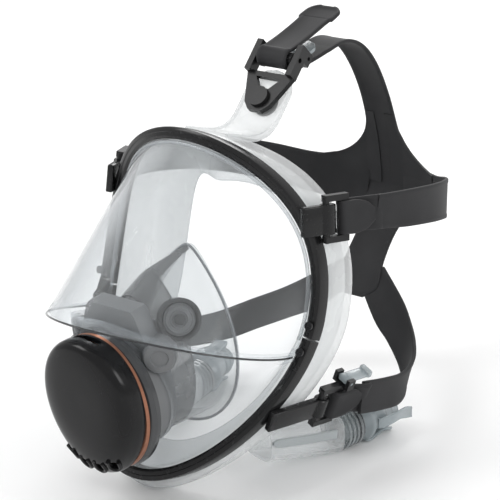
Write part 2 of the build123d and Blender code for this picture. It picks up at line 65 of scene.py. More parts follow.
Path = tuple[tuple[float, float, float], ...]


# ---- measuring and drawing helpers ---------------------------------------------------------------
def spline(points: Sequence[Sequence[float]], steps: int, closed: bool = False) -> np.ndarray:
    """Pass a smooth line through points of any number of coordinates.

    Args:
        points: the points, in order.
        steps: how many pieces each span is divided into.
        closed: whether the last point leads back to the first.

    Returns:
        The sampled points, one row each.
    """
    p = np.array([list(q) for q in points], float)
    n = len(p)
    if closed:
        idx = [(i - 1, i, i + 1, i + 2) for i in range(n)]
    else:
        idx = [(max(i - 1, 0), i, i + 1, min(i + 2, n - 1)) for i in range(n - 1)]
    out = []
    for a, b, c, d in idx:
        p0, p1, p2, p3 = p[a % n], p[b % n], p[c % n], p[d % n]
        for k in range(steps):
            t = k / steps
            out.append(0.5 * (2 * p1 + (p2 - p0) * t + (2 * p0 - 5 * p1 + 4 * p2 - p3) * t * t
                              + (3 * p1 - p0 - 3 * p2 + p3) * t ** 3))
    if not closed:
        out.append(p[-1])
    return np.array(out)


def spread(low: float, high: float, count: int) -> list[float]:
    """Evenly spaced values from low to high."""
    return [low + (high - low) * i / (count - 1) for i in range(count)]


def angles(count: int) -> list[float]:
    """So many equal steps once round, in radians from 0."""
    return [2 * pi * k / count for k in range(count)]


def stacked(profile: Sequence[tuple[float, float]], sides: int) -> list[Row]:
    """Circles of (radius, height) about the z axis, one row each."""
    return [[Vector((r * cos(a), r * sin(a), h)) for a in angles(sides)] for r, h in profile]


def basis(origin: Sequence[float], along: Sequence[float], up: Sequence[float]) -> Matrix:
    """A piece's own axes.

    Args:
        origin: where the axes start, in datum millimetres.
        along: direction of the piece's x axis.
        up: direction its z axis comes as near to as it can.

    Returns:
        The matrix from the piece's own axes to the datum.
    """
    x = Vector(along).normalized()
    y = Vector(up).normalized().cross(x).normalized()
    z = x.cross(y)
    return Matrix.Translation(Vector(origin)) @ Matrix((x, y, z)).transposed().to_4x4()


def skin(rows: Sequence[Row], wrap_rows: bool = False, wrap_cols: bool = False, caps: bool = False) -> Mesh:
    """Join rows of points into a surface.

    Args:
        rows: rows of equally many points.
        wrap_rows: the last row joins the first.
        wrap_cols: each row is a closed ring.
        caps: close the first and the last ring with a face.

    Returns:
        Vertices and faces.
    """
    width, count = len(rows[0]), len(rows)
    verts = [Vector(p) for row in rows for p in row]
    faces: list[tuple[int, ...]] = []
    for r in range(count if wrap_rows else count - 1):
        for c in range(width if wrap_cols else width - 1):
            a, b = r * width + c, r * width + (c + 1) % width
            below = (r + 1) % count * width
            faces.append((a, b, below + (c + 1) % width, below + c))
    if caps:
        faces.append(tuple(range(width)))
        faces.append(tuple(reversed(range((count - 1) * width, count * width))))
    return verts, faces


def merge(*meshes: Mesh) -> Mesh:
    """Put several surfaces in one."""
    verts: list[Vector] = []
    faces: list[tuple[int, ...]] = []
    for v, f in meshes:
        base = len(verts)
        verts += v
        faces += [tuple(i + base for i in face) for face in f]
    return verts, faces


def mirrored(mesh: Mesh) -> Mesh:
    """The wearer's right-hand copy of a left-hand surface, with its faces still outwards."""
    verts, faces = mesh
    return [Vector((-v.x, v.y, v.z)) for v in verts], [tuple(reversed(f)) for f in faces]


def moved(mesh: Mesh, axes: Matrix) -> Mesh:
    """A surface carried from its own axes to the datum."""
    return [axes @ v for v in mesh[0]], mesh[1]


class Side(Enum):
    """The wearer's two sides; a paired piece is drawn on the left."""

    LEFT = "left"
    RIGHT = "right"

    def mesh(self, drawn: Mesh) -> Mesh:
        """The surface drawn for the left, on this side."""
        return drawn if self is Side.LEFT else mirrored(drawn)

    def point(self, p: Vector) -> Vector:
        """The point drawn for the left, on this side."""
        return p if self is Side.LEFT else Vector((-p.x, p.y, p.z))


def strap_section(half: float, thick: float) -> list[tuple[float, float]]:
    """A moulded strap's section: rounded edges and a panel sunk a little between two borders.

    Args:
        half: half its width.
        thick: its thickness.

    Returns:
        Points across and through the strap, once round.
    """
    t, sink, border = thick / 2, 0.28, min(2.4, half * 0.3)
    side = [(half, -t * 0.45), (half, t * 0.45), (half - 0.22, t * 0.82), (half - 0.65, t),
            (half - border, t), (half - border - 0.5, t - sink)]
    top = side[1:] + [(-x, y) for x, y in reversed(side[1:])]
    return top + [(-x, -y) for x, y in top]


def ribbon(centre: np.ndarray, across: Sequence[Vector], widths: Sequence[float], thick: float) -> Mesh:
    """A strap along a line.

    Args:
        centre: points along the middle of the strap.
        across: direction of its width at each point.
        widths: its width at each point.
        thick: its thickness.

    Returns:
        A closed surface.
    """
    rows = []
    for i, p in enumerate(centre):
        ahead = Vector(centre[min(i + 1, len(centre) - 1)] - centre[max(i - 1, 0)]).normalized()
        side = Vector(across[i])
        side = (side - ahead * side.dot(ahead)).normalized()
        face = ahead.cross(side)
        rows.append([Vector(p) + side * u + face * h for u, h in strap_section(widths[i] / 2, thick)])
    return skin(rows, wrap_cols=True, caps=True)


def smooth_ribbon(points: Sequence[Sequence[float]], across: Sequence[Sequence[float]],
                  widths: Sequence[float], thick: float, steps: int = 8) -> Mesh:
    """A strap whose line, twist and width are all smoothed between the points given.

    Args:
        points: where the middle of the strap passes.
        across: direction of its width at each point.
        widths: its width at each point.
        thick: its thickness.
        steps: how many pieces each span is divided into.

    Returns:
        A closed surface.
    """
    table = spline([(*p, *a, w) for p, a, w in zip(points, across, widths)], steps)
    return ribbon(table[:, :3], [Vector(r[3:6]) for r in table], [float(r[6]) for r in table], thick)


def tube(points: Sequence[Vector], radius: Union[float, Sequence[float]], sides: int = 10) -> Mesh:
    """A round bar along a line, closed at both ends.

    Args:
        points: the bar's middle line.
        radius: one radius, or one at each point.
        sides: flats round the bar.

    Returns:
        A closed surface.
    """
    rows = []
    normal = Vector((0.13, 0.21, 0.97))
    for i, p in enumerate(points):
        ahead = (points[min(i + 1, len(points) - 1)] - points[max(i - 1, 0)]).normalized()
        normal = (normal - ahead * normal.dot(ahead)).normalized()
        other = ahead.cross(normal)
        r = radius if isinstance(radius, (int, float)) else radius[i]
        rows.append([p + normal * (r * cos(2 * pi * k / sides)) + other * (r * sin(2 * pi * k / sides))
                     for k in range(sides)])
    return skin(rows, wrap_cols=True, caps=True)


def turned(profile: Sequence[tuple[float, float]], sides: int = 48) -> Mesh:
    """A closed section of (radius, height) turned about the z axis."""
    rows = [[Vector((r * cos(a), r * sin(a), h)) for r, h in profile] for a in angles(sides)]
    return skin(rows, wrap_rows=True, wrap_cols=True)


def block(size: Sequence[float], centre: Sequence[float], bevel: float = 0.0) -> Mesh:
    """A block, for a cutter or a small moulded lump.

    Args:
        size: its three sides.
        centre: its middle.
        bevel: how far its edges are rounded.

    Returns:
        A closed surface.
    """
    bm = bmesh.new()
    bmesh.ops.create_cube(bm, size=1.0)
    for v in bm.verts:
        v.co = Vector(v.co[i] * size[i] + centre[i] for i in range(3))
    if bevel:
        bmesh.ops.bevel(bm, geom=bm.edges[:], offset=bevel, segments=3, affect="EDGES", profile=0.5)
    bm.verts.index_update()
    mesh = [v.co.copy() for v in bm.verts], [tuple(v.index for v in f.verts) for f in bm.faces]
    bm.free()
    return mesh


# ---- pieces --------------------------------------------------------------------------------------
def to_row(p: Vector) -> Vector:
    """A datum point in millimetres as a row-frame point in metres."""
    return (p - DATUM) * MM


def new_object(name: str, mesh: Mesh, inside: Optional[Vector] = None) -> bpy.types.Object:
    """Make a mesh object in the row frame.

    Args:
        name: the piece's name.
        mesh: datum vertices and faces.
        inside: for an open sheet, a point its faces look away from.

    Returns:
        The object, at the origin and linked to the scene.
    """
    bm = bmesh.new()
    verts = [bm.verts.new(to_row(v)) for v in mesh[0]]
    for f in mesh[1]:
        if len(set(f)) > 2:
            bm.faces.new([verts[i] for i in f])
    bmesh.ops.remove_doubles(bm, verts=bm.verts[:], dist=2e-6)
    bmesh.ops.dissolve_degenerate(bm, dist=1e-7, edges=bm.edges[:])
    bmesh.ops.recalc_face_normals(bm, faces=bm.faces[:])
    if inside is not None:
        eye = to_row(inside)
        if sum(f.normal.dot(f.calc_center_median() - eye) * f.calc_area() for f in bm.faces) < 0:
            bmesh.ops.reverse_faces(bm, faces=bm.faces[:])
    for f in bm.faces:
        f.smooth = True
    data = bpy.data.meshes.new(name)
    bm.to_mesh(data)
    bm.free()
    obj = bpy.data.objects.new(name, data)
    bpy.context.scene.collection.objects.link(obj)
    return obj


def settle(obj: bpy.types.Object, sharp: float = 40.0) -> bpy.types.Object:
    """Turn an object's modifiers into plain mesh, and keep sharp edges crisp.

    Args:
        obj: the object.
        sharp: an edge that turns by more degrees than this stays crisp.

    Returns:
        The same object.
    """
    bpy.context.view_layer.update()
    graph = bpy.context.evaluated_depsgraph_get()
    data = bpy.data.meshes.new_from_object(obj.evaluated_get(graph))
    obj.modifiers.clear()
    obj.data = data
    bm = bmesh.new()
    bm.from_mesh(data)
    for f in bm.faces:
        f.smooth = True
    for e in bm.edges:
        e.smooth = not (len(e.link_faces) == 2 and e.calc_face_angle(0.0) > radians(sharp))
    bm.to_mesh(data)
    bm.free()
    return obj


def thicken(obj: bpy.types.Object, wall: float) -> None:
    """Give a sheet a wall inwards from its outer face."""
    mod = obj.modifiers.new("Wall", "SOLIDIFY")
    mod.thickness, mod.offset, mod.use_even_offset = wall * MM, -1.0, False


def carve(obj: bpy.types.Object, cutter: Mesh) -> None:
    """Cut a shape out of an object.

    Args:
        obj: the object, settled afterwards.
        cutter: a closed surface.
    """
    tool = new_object("cutter", cutter)
    mod = obj.modifiers.new("Cut", "BOOLEAN")
    mod.operation, mod.solver, mod.object = "DIFFERENCE", "EXACT", tool
    settle(obj)
    bpy.data.objects.remove(tool)


def dress(obj: bpy.types.Object, finish: "Finish", body: str, nodes: Iterable[str] = (),
          second: Optional["Finish"] = None) -> None:
    """Give a finished piece its material, its body and its place in the record.

    Args:
        obj: the piece, with its modifiers already settled.
        finish: what it is made of.
        body: the body that it moves with.
        nodes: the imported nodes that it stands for.
        second: the finish of the faces marked for one.
    """
    marks = [f.material_index for f in obj.data.polygons]
    obj.data.materials.clear()
    for each in (finish, second):
        if each is not None:
            obj.data.materials.append(each.material())
    obj.data.polygons.foreach_set("material_index", marks if second is not None else [0] * len(marks))
    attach(obj, body)
    names = list(nodes)
    if names:
        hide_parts(*names)
    LOG.info("%s: %d faces on %s", obj.name, len(obj.data.polygons), body)


@dataclass
class RepeatTree:
    """A small lump repeated by Geometry Nodes, one at each of the axes given."""

    places: Sequence[Matrix]

    def _tree(self, finish: "Finish") -> bpy.types.NodeTree:
        """Write the node tree.

        Args:
            finish: what the lumps are made of.

        Returns:
            A tree that puts the lump on each point, turned by the point's own angles.
        """
        tree = bpy.data.node_groups.new("repeat_placed", "GeometryNodeTree")
        for label, way, kind in (("Geometry", "INPUT", "Geometry"), ("Lump", "INPUT", "Object"),
                                 ("Geometry", "OUTPUT", "Geometry")):
            tree.interface.new_socket(label, in_out=way, socket_type=f"NodeSocket{kind}")
        given, result, lump, turned_to, put, real, paint = (tree.nodes.new(kind) for kind in (
            "NodeGroupInput", "NodeGroupOutput", "GeometryNodeObjectInfo", "GeometryNodeInputNamedAttribute",
            "GeometryNodeInstanceOnPoints", "GeometryNodeRealizeInstances", "GeometryNodeSetMaterial"))
        turned_to.data_type = "FLOAT_VECTOR"
        turned_to.inputs["Name"].default_value = "turn"
        paint.inputs["Material"].default_value = finish.material()
        for start, end in ((given.outputs["Lump"], lump.inputs["Object"]),
                           (lump.outputs["Geometry"], put.inputs["Instance"]),
                           (turned_to.outputs[0], put.inputs["Rotation"]),
                           (given.outputs["Geometry"], put.inputs["Points"]),
                           (put.outputs[0], real.inputs[0]),
                           (real.outputs[0], paint.inputs["Geometry"]),
                           (paint.outputs[0], result.inputs[0])):
            tree.links.new(start, end)
        return tree

    def build(self, name: str, lump: Mesh, finish: "Finish") -> bpy.types.Object:
        """Make the repeated piece as one plain mesh.

        Args:
            name: the piece's name.
            lump: one lump, in millimetres in its own axes.
            finish: what it is made of.

        Returns:
            The piece, placed in the row frame.
        """
        seed = new_object("lump", ([v + DATUM for v in lump[0]], lump[1]))
        spots = bpy.data.meshes.new(name)
        spots.from_pydata([to_row(place.translation) for place in self.places], [], [])
        turns = spots.attributes.new("turn", "FLOAT_VECTOR", "POINT")
        turns.data.foreach_set("vector", [a for place in self.places for a in place.to_euler()])
        host = bpy.data.objects.new(name, spots)
        bpy.context.scene.collection.objects.link(host)
        mod = host.modifiers.new("Repeat", "NODES")
        mod.node_group = self._tree(finish)
        for item in mod.node_group.interface.items_tree:
            if item.in_out == "INPUT" and item.name == "Lump":
                mod[item.identifier] = seed
        settle(host)
        bpy.data.objects.remove(seed)
        return host


# ---- shader writing ------------------------------------------------------------------------------
def operator(operation: str) -> tuple[Callable[..., "Sock"], Callable[..., "Sock"]]:
    """The plain and the reflected method for one kind of Math node."""
    return (lambda this, other: this.combined(operation, this, other),
            lambda this, other: this.combined(operation, other, this))


class Sock:
    """A node's output that can be used in sums; each operator adds a Math node."""

    def __init__(self, tree: bpy.types.NodeTree, socket: bpy.types.NodeSocket) -> None:
        """Wrap a socket of a tree."""
        self.tree, self.socket = tree, socket

    def combined(self, operation: str, first: "Value", second: "Value") -> "Sock":
        """Add a Math node.

        Args:
            operation: what it does.
            first: its first value.
            second: its second value.

        Returns:
            The node's output.
        """
        node = self.tree.nodes.new("ShaderNodeMath")
        node.operation = operation
        for i, value in enumerate((first, second)):
            if isinstance(value, Sock):
                self.tree.links.new(value.socket, node.inputs[i])
            else:
                node.inputs[i].default_value = float(value)
        return Sock(self.tree, node.outputs[0])

    __add__, __radd__ = operator("ADD")
    __sub__, __rsub__ = operator("SUBTRACT")
    __mul__, __rmul__ = operator("MULTIPLY")
    __pow__, __rpow__ = operator("POWER")


Value = Union[Sock, float]


class Shader:
    """A material being written."""

    def __init__(self, name: str) -> None:
        """Start a material with only its output."""
        self.material = bpy.data.materials.new(name)
        self.material.use_nodes = True
        self.tree = self.material.node_tree
        self.tree.nodes.clear()
        self.out = self.tree.nodes.new("ShaderNodeOutputMaterial")
        self.coords = self.node("ShaderNodeTexCoord").outputs["Object"]

    def node(self, kind: str, settings: Optional[dict] = None, **values: object) -> bpy.types.Node:
        """Add a node.

        Args:
            kind: the node's type.
            settings: its own settings, set first.
            values: numbers, colours, links or shaders for its sockets, with _ for a space.

        Returns:
            The node.
        """
        node = self.tree.nodes.new(kind)
        for key, value in (settings or {}).items():
            setattr(node, key, value)
        for key, value in values.items():
            socket = node.inputs[key.replace("_", " ")]
            if isinstance(value, Sock):
                self.tree.links.new(value.socket, socket)
            elif isinstance(value, bpy.types.NodeSocket):
                self.tree.links.new(value, socket)
            else:
                socket.default_value = value
        return node

    def noise(self, scale: float, detail: float = 3.0, rough: float = 0.5) -> Sock:
        """Cloudy noise from 0 to 1 at so many waves a metre."""
        made = self.node("ShaderNodeTexNoise", Vector=self.coords, Scale=scale, Detail=detail, Roughness=rough)
        return Sock(self.tree, made.outputs["Fac"])

    def band(self, value: Sock, low: float, high: float) -> Sock:
        """value stretched so that low becomes 0 and high becomes 1, with soft ends."""
        made = self.node("ShaderNodeMapRange", {"interpolation_type": "SMOOTHSTEP"}, Value=value,
                         From_Min=low, From_Max=high)
        return Sock(self.tree, made.outputs["Result"])

    def blend(self, factor: Value, first: Colour, second: Colour) -> bpy.types.NodeSocket:
        """A colour between two.

        Args:
            factor: 0 for the first, 1 for the second.
            first: a colour.
            second: another colour.

        Returns:
            The colour's socket.
        """
        node = self.tree.nodes.new("ShaderNodeMix")
        node.data_type = "RGBA"
        if isinstance(factor, Sock):
            self.tree.links.new(factor.socket, node.inputs[0])
        else:
            node.inputs[0].default_value = factor
        node.inputs[6].default_value, node.inputs[7].default_value = (*first, 1.0), (*second, 1.0)
        return node.outputs[2]

    def see_through(self, factor: Sock, body: bpy.types.Node, colour: Colour) -> bpy.types.Material:
        """Mix a shader with a see-through one and finish the material.

        Args:
            factor: how much of the body shows.
            body: the shader of the surface itself.
            colour: what the see-through share lets pass.

        Returns:
            The material.
        """
        clear = self.node("ShaderNodeBsdfTransparent", Color=(*colour, 1.0))
        mixed = self.node("ShaderNodeMixShader", Fac=factor)
        self.tree.links.new(clear.outputs[0], mixed.inputs[1])
        self.tree.links.new(body.outputs[0], mixed.inputs[2])
        return self.close(mixed.outputs[0])

    def bump(self, height: Sock, depth: float, strength: float = 1.0) -> bpy.types.NodeSocket:
        """A surface grain so many metres deep."""
        return self.node("ShaderNodeBump", Height=height, Distance=depth, Strength=strength).outputs["Normal"]

    def facing(self) -> Sock:
        """0 where the surface is met square on, 1 where it is met edge on."""
        return Sock(self.tree, self.node("ShaderNodeLayerWeight", Blend=0.5).outputs["Facing"])

    def close(self, shader: bpy.types.NodeSocket) -> bpy.types.Material:
        """Send a shader to the output."""
        self.tree.links.new(shader, self.out.inputs["Surface"])
        return self.material


@dataclass(frozen=True)
class Finish:
    """A finish; its material is made once and shared by every piece that has it."""

    name: str

    def material(self) -> bpy.types.Material:
        """The finish's material."""
        found = bpy.data.materials.get(self.name)
        return found if found is not None else self.write(Shader(self.name))

    def write(self, s: Shader) -> bpy.types.Material:
        """Write the shader; each kind of finish has its own."""
        raise NotImplementedError


@dataclass(frozen=True)
class MouldedPlastic(Finish):
    """Injection-moulded plastic: fine spark grain, faint flow clouds, scuffs that dull it."""

    colour: Colour = (0.012, 0.012, 0.013)
    worn: Colour = (0.05, 0.05, 0.052)
    rough: float = 0.32
    grain: float = 2600.0
    depth: float = 0.00003
    coat: float = 0.0
    shine: float = 0.3

    def write(self, s: Shader) -> bpy.types.Material:
        """Clouds and scuffs vary colour and roughness; grain is bump."""
        clouds, scuffs, grain = s.noise(38.0, 4.0), s.noise(210.0, 6.0, 0.7), s.noise(self.grain, 2.0)
        wear = s.band(scuffs, 0.56, 0.74)
        colour = s.blend(clouds * 0.25 + wear * 0.35, self.colour, self.worn)
        shader = s.node("ShaderNodeBsdfPrincipled", Base_Color=colour,
                        Roughness=self.rough + clouds * 0.06 + wear * 0.12, Specular_IOR_Level=self.shine,
                        Coat_Weight=self.coat, Coat_Roughness=0.04,
                        Normal=s.bump(grain + clouds * 0.5, self.depth, 0.35))
        return s.close(shader.outputs[0])


@dataclass(frozen=True)
class MouldedRubber(Finish):
    """Matt moulded rubber with a soft sheen, a stipple and bloom in broad patches."""

    colour: Colour = (0.018, 0.018, 0.0195)
    bloom: Colour = (0.048, 0.048, 0.050)
    rough: float = 0.62

    def write(self, s: Shader) -> bpy.types.Material:
        """Stipple is bump; bloom lightens broad patches."""
        patches, stipple, dust = s.noise(26.0, 3.0), s.noise(1900.0, 2.0), s.noise(420.0, 5.0, 0.7)
        share = s.band(patches, 0.35, 0.75) * 0.35 + s.band(dust, 0.6, 0.8) * 0.3
        colour = s.blend(share, self.colour, self.bloom)
        shader = s.node("ShaderNodeBsdfPrincipled", Base_Color=colour, Roughness=self.rough + patches * 0.12,
                        Sheen_Weight=0.04, Sheen_Roughness=0.4, Specular_IOR_Level=0.3,
                        Normal=s.bump(stipple + dust * 0.4, 0.00006, 0.4))
        return s.close(shader.outputs[0])


@dataclass(frozen=True)
class ClearPane(Finish):
    """Polished clear polycarbonate: see-through square on, milky and mirror-like edge on, with painted shade
    darkening its colour edge on.
    """

    haze: float = 0.045
    edge: float = 0.80
    power: float = 2.6
    colour: Colour = (0.80, 0.82, 0.83)
    # deep is painted shade: the darker colour the gloss takes towards grazing angles
    deep: Colour = (0.52, 0.54, 0.56)
    pass_through: Colour = (0.972, 0.980, 0.985)
    rough: float = 0.03

    def write(self, s: Shader) -> bpy.types.Material:
        """A see-through shader mixed with a glossy one by how square the surface is met; the glossy one darkens
        edge on as painted shade.
        """
        waves, smears = s.noise(14.0, 2.0), s.noise(120.0, 5.0, 0.65)
        film = s.band(smears, 0.55, 0.8)
        facing = s.facing()
        # painted shade: the gloss colour goes from colour to deep as the surface turns edge on
        gloss = s.node("ShaderNodeBsdfPrincipled", Base_Color=s.blend(facing ** 2.0, self.colour, self.deep),
                       Roughness=self.rough + film * 0.05, Coat_Weight=0.5, Coat_Roughness=0.02,
                       Normal=s.bump(waves, 0.0006, 0.12))
        factor = self.haze + film * (0.3 * self.haze) + self.edge * facing ** self.power
        return s.see_through(factor, gloss, self.pass_through)


@dataclass(frozen=True)
class SoftSilicone(Finish):
    """Liquid silicone rubber: satin, cloudy inside, brighter where it is met edge on, with painted shade
    darkening its colour there.
    """

    colour: Colour = (0.89, 0.898, 0.90)
    # shade: the darker tone, reached through random clouds and specks and through painted shade at grazing
    # edges
    shade: Colour = (0.66, 0.675, 0.68)
    thin: float = 0.25
    thick: float = 0.72
    power: float = 1.4
    rough: float = 0.22
    pass_through: Colour = (0.955, 0.963, 0.965)

    def write(self, s: Shader) -> bpy.types.Material:
        """Clouds vary the colour and how much shows through; the colour also darkens edge on as painted shade.
        """
        clouds, skin_grain, specks = s.noise(32.0, 4.0), s.noise(900.0, 3.0), s.noise(300.0, 5.0, 0.7)
        facing = s.facing()
        # painted shade: facing ** 3.0 pulls the colour towards shade at grazing edges; clouds and specks are
        # random tone
        colour = s.blend(clouds * 0.3 + specks * 0.2 + facing ** 3.0 * 0.6, self.colour, self.shade)
        body = s.node("ShaderNodeBsdfPrincipled", Base_Color=colour, Roughness=self.rough + clouds * 0.10,
                      Coat_Weight=0.25, Coat_Roughness=0.12,
                      Normal=s.bump(skin_grain + clouds * 2.0, 0.000012, 0.25))
        factor = self.thin + clouds * 0.08 + (self.thick - self.thin) * facing ** self.power
        return s.see_through(factor, body, self.pass_through)


@dataclass(frozen=True)
class BrushedMetal(Finish):
    """Turned or painted metal with fine streaks round it."""

    colour: Colour = (0.62, 0.34, 0.22)
    shade: Colour = (0.40, 0.19, 0.11)
    rough: float = 0.26

    def write(self, s: Shader) -> bpy.types.Material:
        """Streaks vary colour and roughness."""
        streaks, flakes = s.noise(700.0, 4.0, 0.6), s.noise(2400.0, 2.0)
        shader = s.node("ShaderNodeBsdfPrincipled", Base_Color=s.blend(streaks, self.colour, self.shade),
                        Metallic=0.9, Roughness=self.rough + streaks * 0.12, Coat_Weight=0.3,
                        Coat_Roughness=0.08, Normal=s.bump(flakes + streaks, 0.00002, 0.3))
        return s.close(shader.outputs[0])


LENS = ClearPane("clear_lens_polished")
SHELF = ClearPane("clear_lens_shelf", haze=0.03, edge=0.22, power=3.0)
# painted shade: a near-black, nearly opaque finish for the tube along the lens's ledge crease
LEDGE_PAINTED_SHADE = ClearPane("ledge_painted_shade_line", haze=0.9, edge=0.05, colour=(0.02, 0.022, 0.025),
                       deep=(0.015, 0.016, 0.018), rough=0.2)
# painted shade: a greyer, hazier clear finish for the lens's thick edge, standing in for the lines seen in it
LENS_EDGE_PAINTED_SHADE = ClearPane("lens_edge_painted_shade", haze=0.30, edge=0.6, colour=(0.55, 0.58, 0.60),
                      deep=(0.20, 0.21, 0.22))
FRAME_BLACK = MouldedPlastic("frame_black", colour=(0.007, 0.007, 0.0075), worn=(0.03, 0.03, 0.031), rough=0.22)
CLIP_BLACK = MouldedPlastic("clip_black", colour=(0.009, 0.009, 0.0095), rough=0.3)
COVER_BLACK = MouldedPlastic("cover_black", colour=(0.006, 0.006, 0.0065), worn=(0.016, 0.016, 0.017),
                             rough=0.16, grain=1400.0, depth=0.000008, shine=0.22)
# painted light: a dark housing coloured lighter grey, standing in for the lens's haze and reflections in front
# of it
HOUSING_PAINTED_LIGHT = MouldedPlastic("housing_grey_painted_light", colour=(0.17, 0.175, 0.18), worn=(0.24, 0.245, 0.25), rough=0.34)
SMOKE = MouldedPlastic("smoke_grey", colour=(0.035, 0.037, 0.04), worn=(0.07, 0.072, 0.075),
                       rough=0.10, shine=0.6)
INSERT_GREY = MouldedPlastic("insert_grey", colour=(0.38, 0.41, 0.42), worn=(0.46, 0.49, 0.50), rough=0.4)
COPPER = BrushedMetal("copper_paint", colour=(0.42, 0.19, 0.115), shade=(0.24, 0.10, 0.06))
STEEL = BrushedMetal("blackened_steel", colour=(0.03, 0.03, 0.032), shade=(0.012, 0.012, 0.013), rough=0.35)
SEAL_SILICONE = SoftSilicone("seal_silicone")
CUP_SILICONE = SoftSilicone("cup_silicone", colour=(0.21, 0.213, 0.217), shade=(0.12, 0.123, 0.127),
                            thin=0.55, thick=0.92)
CUP_SKIRT = SoftSilicone("cup_skirt_silicone", colour=(0.62, 0.63, 0.64), shade=(0.45, 0.46, 0.47),
                         thin=0.10, thick=0.62, power=2.2, rough=0.14)
CUP_RIM = SoftSilicone("cup_rim_silicone", colour=(0.24, 0.25, 0.27), shade=(0.15, 0.16, 0.17),
                       thin=0.7, thick=0.95)
VALVE_RUBBER = SoftSilicone("valve_silicone", colour=(0.19, 0.195, 0.20), shade=(0.12, 0.125, 0.13),
                            thin=0.85, thick=0.97, rough=0.15)
SEAT_GREY = SoftSilicone("seat_grey", colour=(0.055, 0.056, 0.058), shade=(0.03, 0.031, 0.032),
                         thin=0.86, thick=0.97, rough=0.18)
DUCT_SILICONE = SoftSilicone("duct_silicone", thin=0.16, thick=0.55, power=1.8, rough=0.12)
FROSTED = SoftSilicone("frosted_plastic", colour=(0.40, 0.45, 0.47), shade=(0.26, 0.31, 0.33),
                       thin=0.5, thick=0.9, rough=0.1)
COLLAR_CLEAR = SoftSilicone("collar_clear", colour=(0.42, 0.45, 0.46), shade=(0.26, 0.29, 0.30),
                            thin=0.30, thick=0.85, rough=0.08)
BRACKET_SMOKE = SoftSilicone("bracket_smoke", colour=(0.06, 0.065, 0.07), shade=(0.03, 0.033, 0.036),
                             thin=0.55, thick=0.9, rough=0.06)
STRAP = MouldedRubber("strap_rubber_matt")

NODE_FINISHES: dict[str, Finish] = {
    "frame_upper": FRAME_BLACK, "frame_lower": FRAME_BLACK, "frame_screws": STEEL,
    "visor_lens": LENS, "visor_lens_lower": LENS, "face_seal": SEAL_SILICONE, "nose_cup": CUP_SILICONE,
    "inhalation_seat": SEAT_GREY, "inhalation_valve": VALVE_RUBBER, "valve_housing": HOUSING_PAINTED_LIGHT,
    "port_ring": SMOKE, "accent_ring": COPPER, "exhalation_seat": INSERT_GREY, "exhalation_valve": VALVE_RUBBER,
    "exhalation_cover": COVER_BLACK, "air_arm": DUCT_SILICONE, "duct_insert": INSERT_GREY,
    "arm_collar": COLLAR_CLEAR, "connector": FROSTED, "connector_latch": FROSTED, "temple_loop": CLIP_BLACK,
    "temple_strap_end": STRAP, "lower_loop": CLIP_BLACK, "lower_strap_end": STRAP, "lower_release_tab": FROSTED,
    "forehead_peg": CLIP_BLACK, "forehead_buckle": CLIP_BLACK, "forehead_roller": CLIP_BLACK,
    "forehead_release_tab": FROSTED, "forehead_strap_end": STRAP, "harness_spine": STRAP,
    "harness_temple_arm": STRAP, "harness_lower_arm": STRAP}


def dress_frame_nodes() -> None:
    """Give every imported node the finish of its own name, less its side."""
    for name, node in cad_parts.items():
        stem = name.removesuffix("_left").removesuffix("_right")
        for held in node.material_slots:
            held.material = NODE_FINISHES[stem].material()


# ---- the clamping frame's line -------------------------------------------------------------------
@dataclass(frozen=True)
class Rim:
    """Centre line of the clamping frame round the face, in millimetres."""

    half_width: float = 77.0
    top: float = 97.0
    bottom: float = 92.0
    mid_z: float = 105.0
    lean: float = radians(15.0)
    side_sweep: float = 24.7
    crown_sweep: float = 19.0

    def point(self, t: float) -> Vector:
        """The centre line, t in radians from the top towards the wearer's left."""
        c = cos(t)
        rise = self.top * c ** 0.85 if c > 0 else -self.bottom * (-c) ** 1.08
        y = self.side_sweep * sin(t) ** 2 + tan(self.lean) * rise - self.crown_sweep * (rise / self.top) ** 2
        return Vector((self.half_width * sin(t), y, self.mid_z + rise))

    def place(self, t: float, out: float, ahead: float) -> Vector:
        """A point beside the centre line.

        Args:
            t: how far round, in radians from the top.
            out: distance outwards.
            ahead: distance forwards.

        Returns:
            The point.
        """
        tangent = (self.point(t + 0.01) - self.point(t - 0.01)).normalized()
        front = Vector((0, -cos(self.lean), sin(self.lean)))
        outward = front.cross(tangent).normalized()
        return self.point(t) + outward * out + tangent.cross(outward).normalized() * ahead


RIM = Rim()


@dataclass
class ClampFrame:
    """The two black halves that clamp the lens to the seal, with their lugs."""

    joint: float = 1.72
    slack: float = 0.005
    section: Profile = (
        (-3.4, -5.6), (2.7, -5.6), (3.4, -4.9), (3.5, 1.9), (3.1, 3.3), (2.1, 3.9), (0.6, 3.9), (0.2, 3.5),
        (-1.9, 3.5), (-3.4, 2.4))
    lugs: Profile = ((15.0, 8.5), (37.0, 6.5))

    def half(self, first: float, last: float) -> Mesh:
        """One half of the ring, from one joint to the other."""
        rows = [[RIM.place(t, out, ahead) for out, ahead in self.section] for t in spread(first, last, 110)]
        return skin(rows, wrap_cols=True, caps=True)

    def lug(self, axes: Matrix, reach: float, half: float) -> Mesh:
        """A tongue from the ring that wraps the loop's front bar.

        Args:
            axes: the buckle's axes.
            reach: the tongue's length.
            half: half the tongue's width.

        Returns:
            A closed surface.
        """
        tongue = block((reach, 4.2, 2 * half), (-8.0 - reach / 2, 0, 0), 0.9)
        rows = [[Vector((-6.2 + 5.2 * r * cos(a), 3.9 * r * sin(a), z)) for a in angles(36)]
                for z, r in ((-half, 0.86), (-half + 0.6, 1.0), (half - 0.6, 1.0), (half, 0.86))]
        return moved(merge(tongue, skin(rows, wrap_cols=True, caps=True)), axes)

    def build(self) -> None:
        """Make both halves."""
        spans = (("upper", -self.joint + self.slack, self.joint - self.slack, TEMPLE, *self.lugs[0]),
                 ("lower", self.joint + self.slack, 2 * pi - self.joint - self.slack, LOWER, *self.lugs[1]))
        for name, first, last, axes, reach, half in spans:
            lug = self.lug(axes, reach, half)
            ring = new_object(f"frame_{name}_half", merge(self.half(first, last), lug, mirrored(lug)))
            dress(settle(ring, 32), FRAME_BLACK, "mask", [f"frame_{name}"])


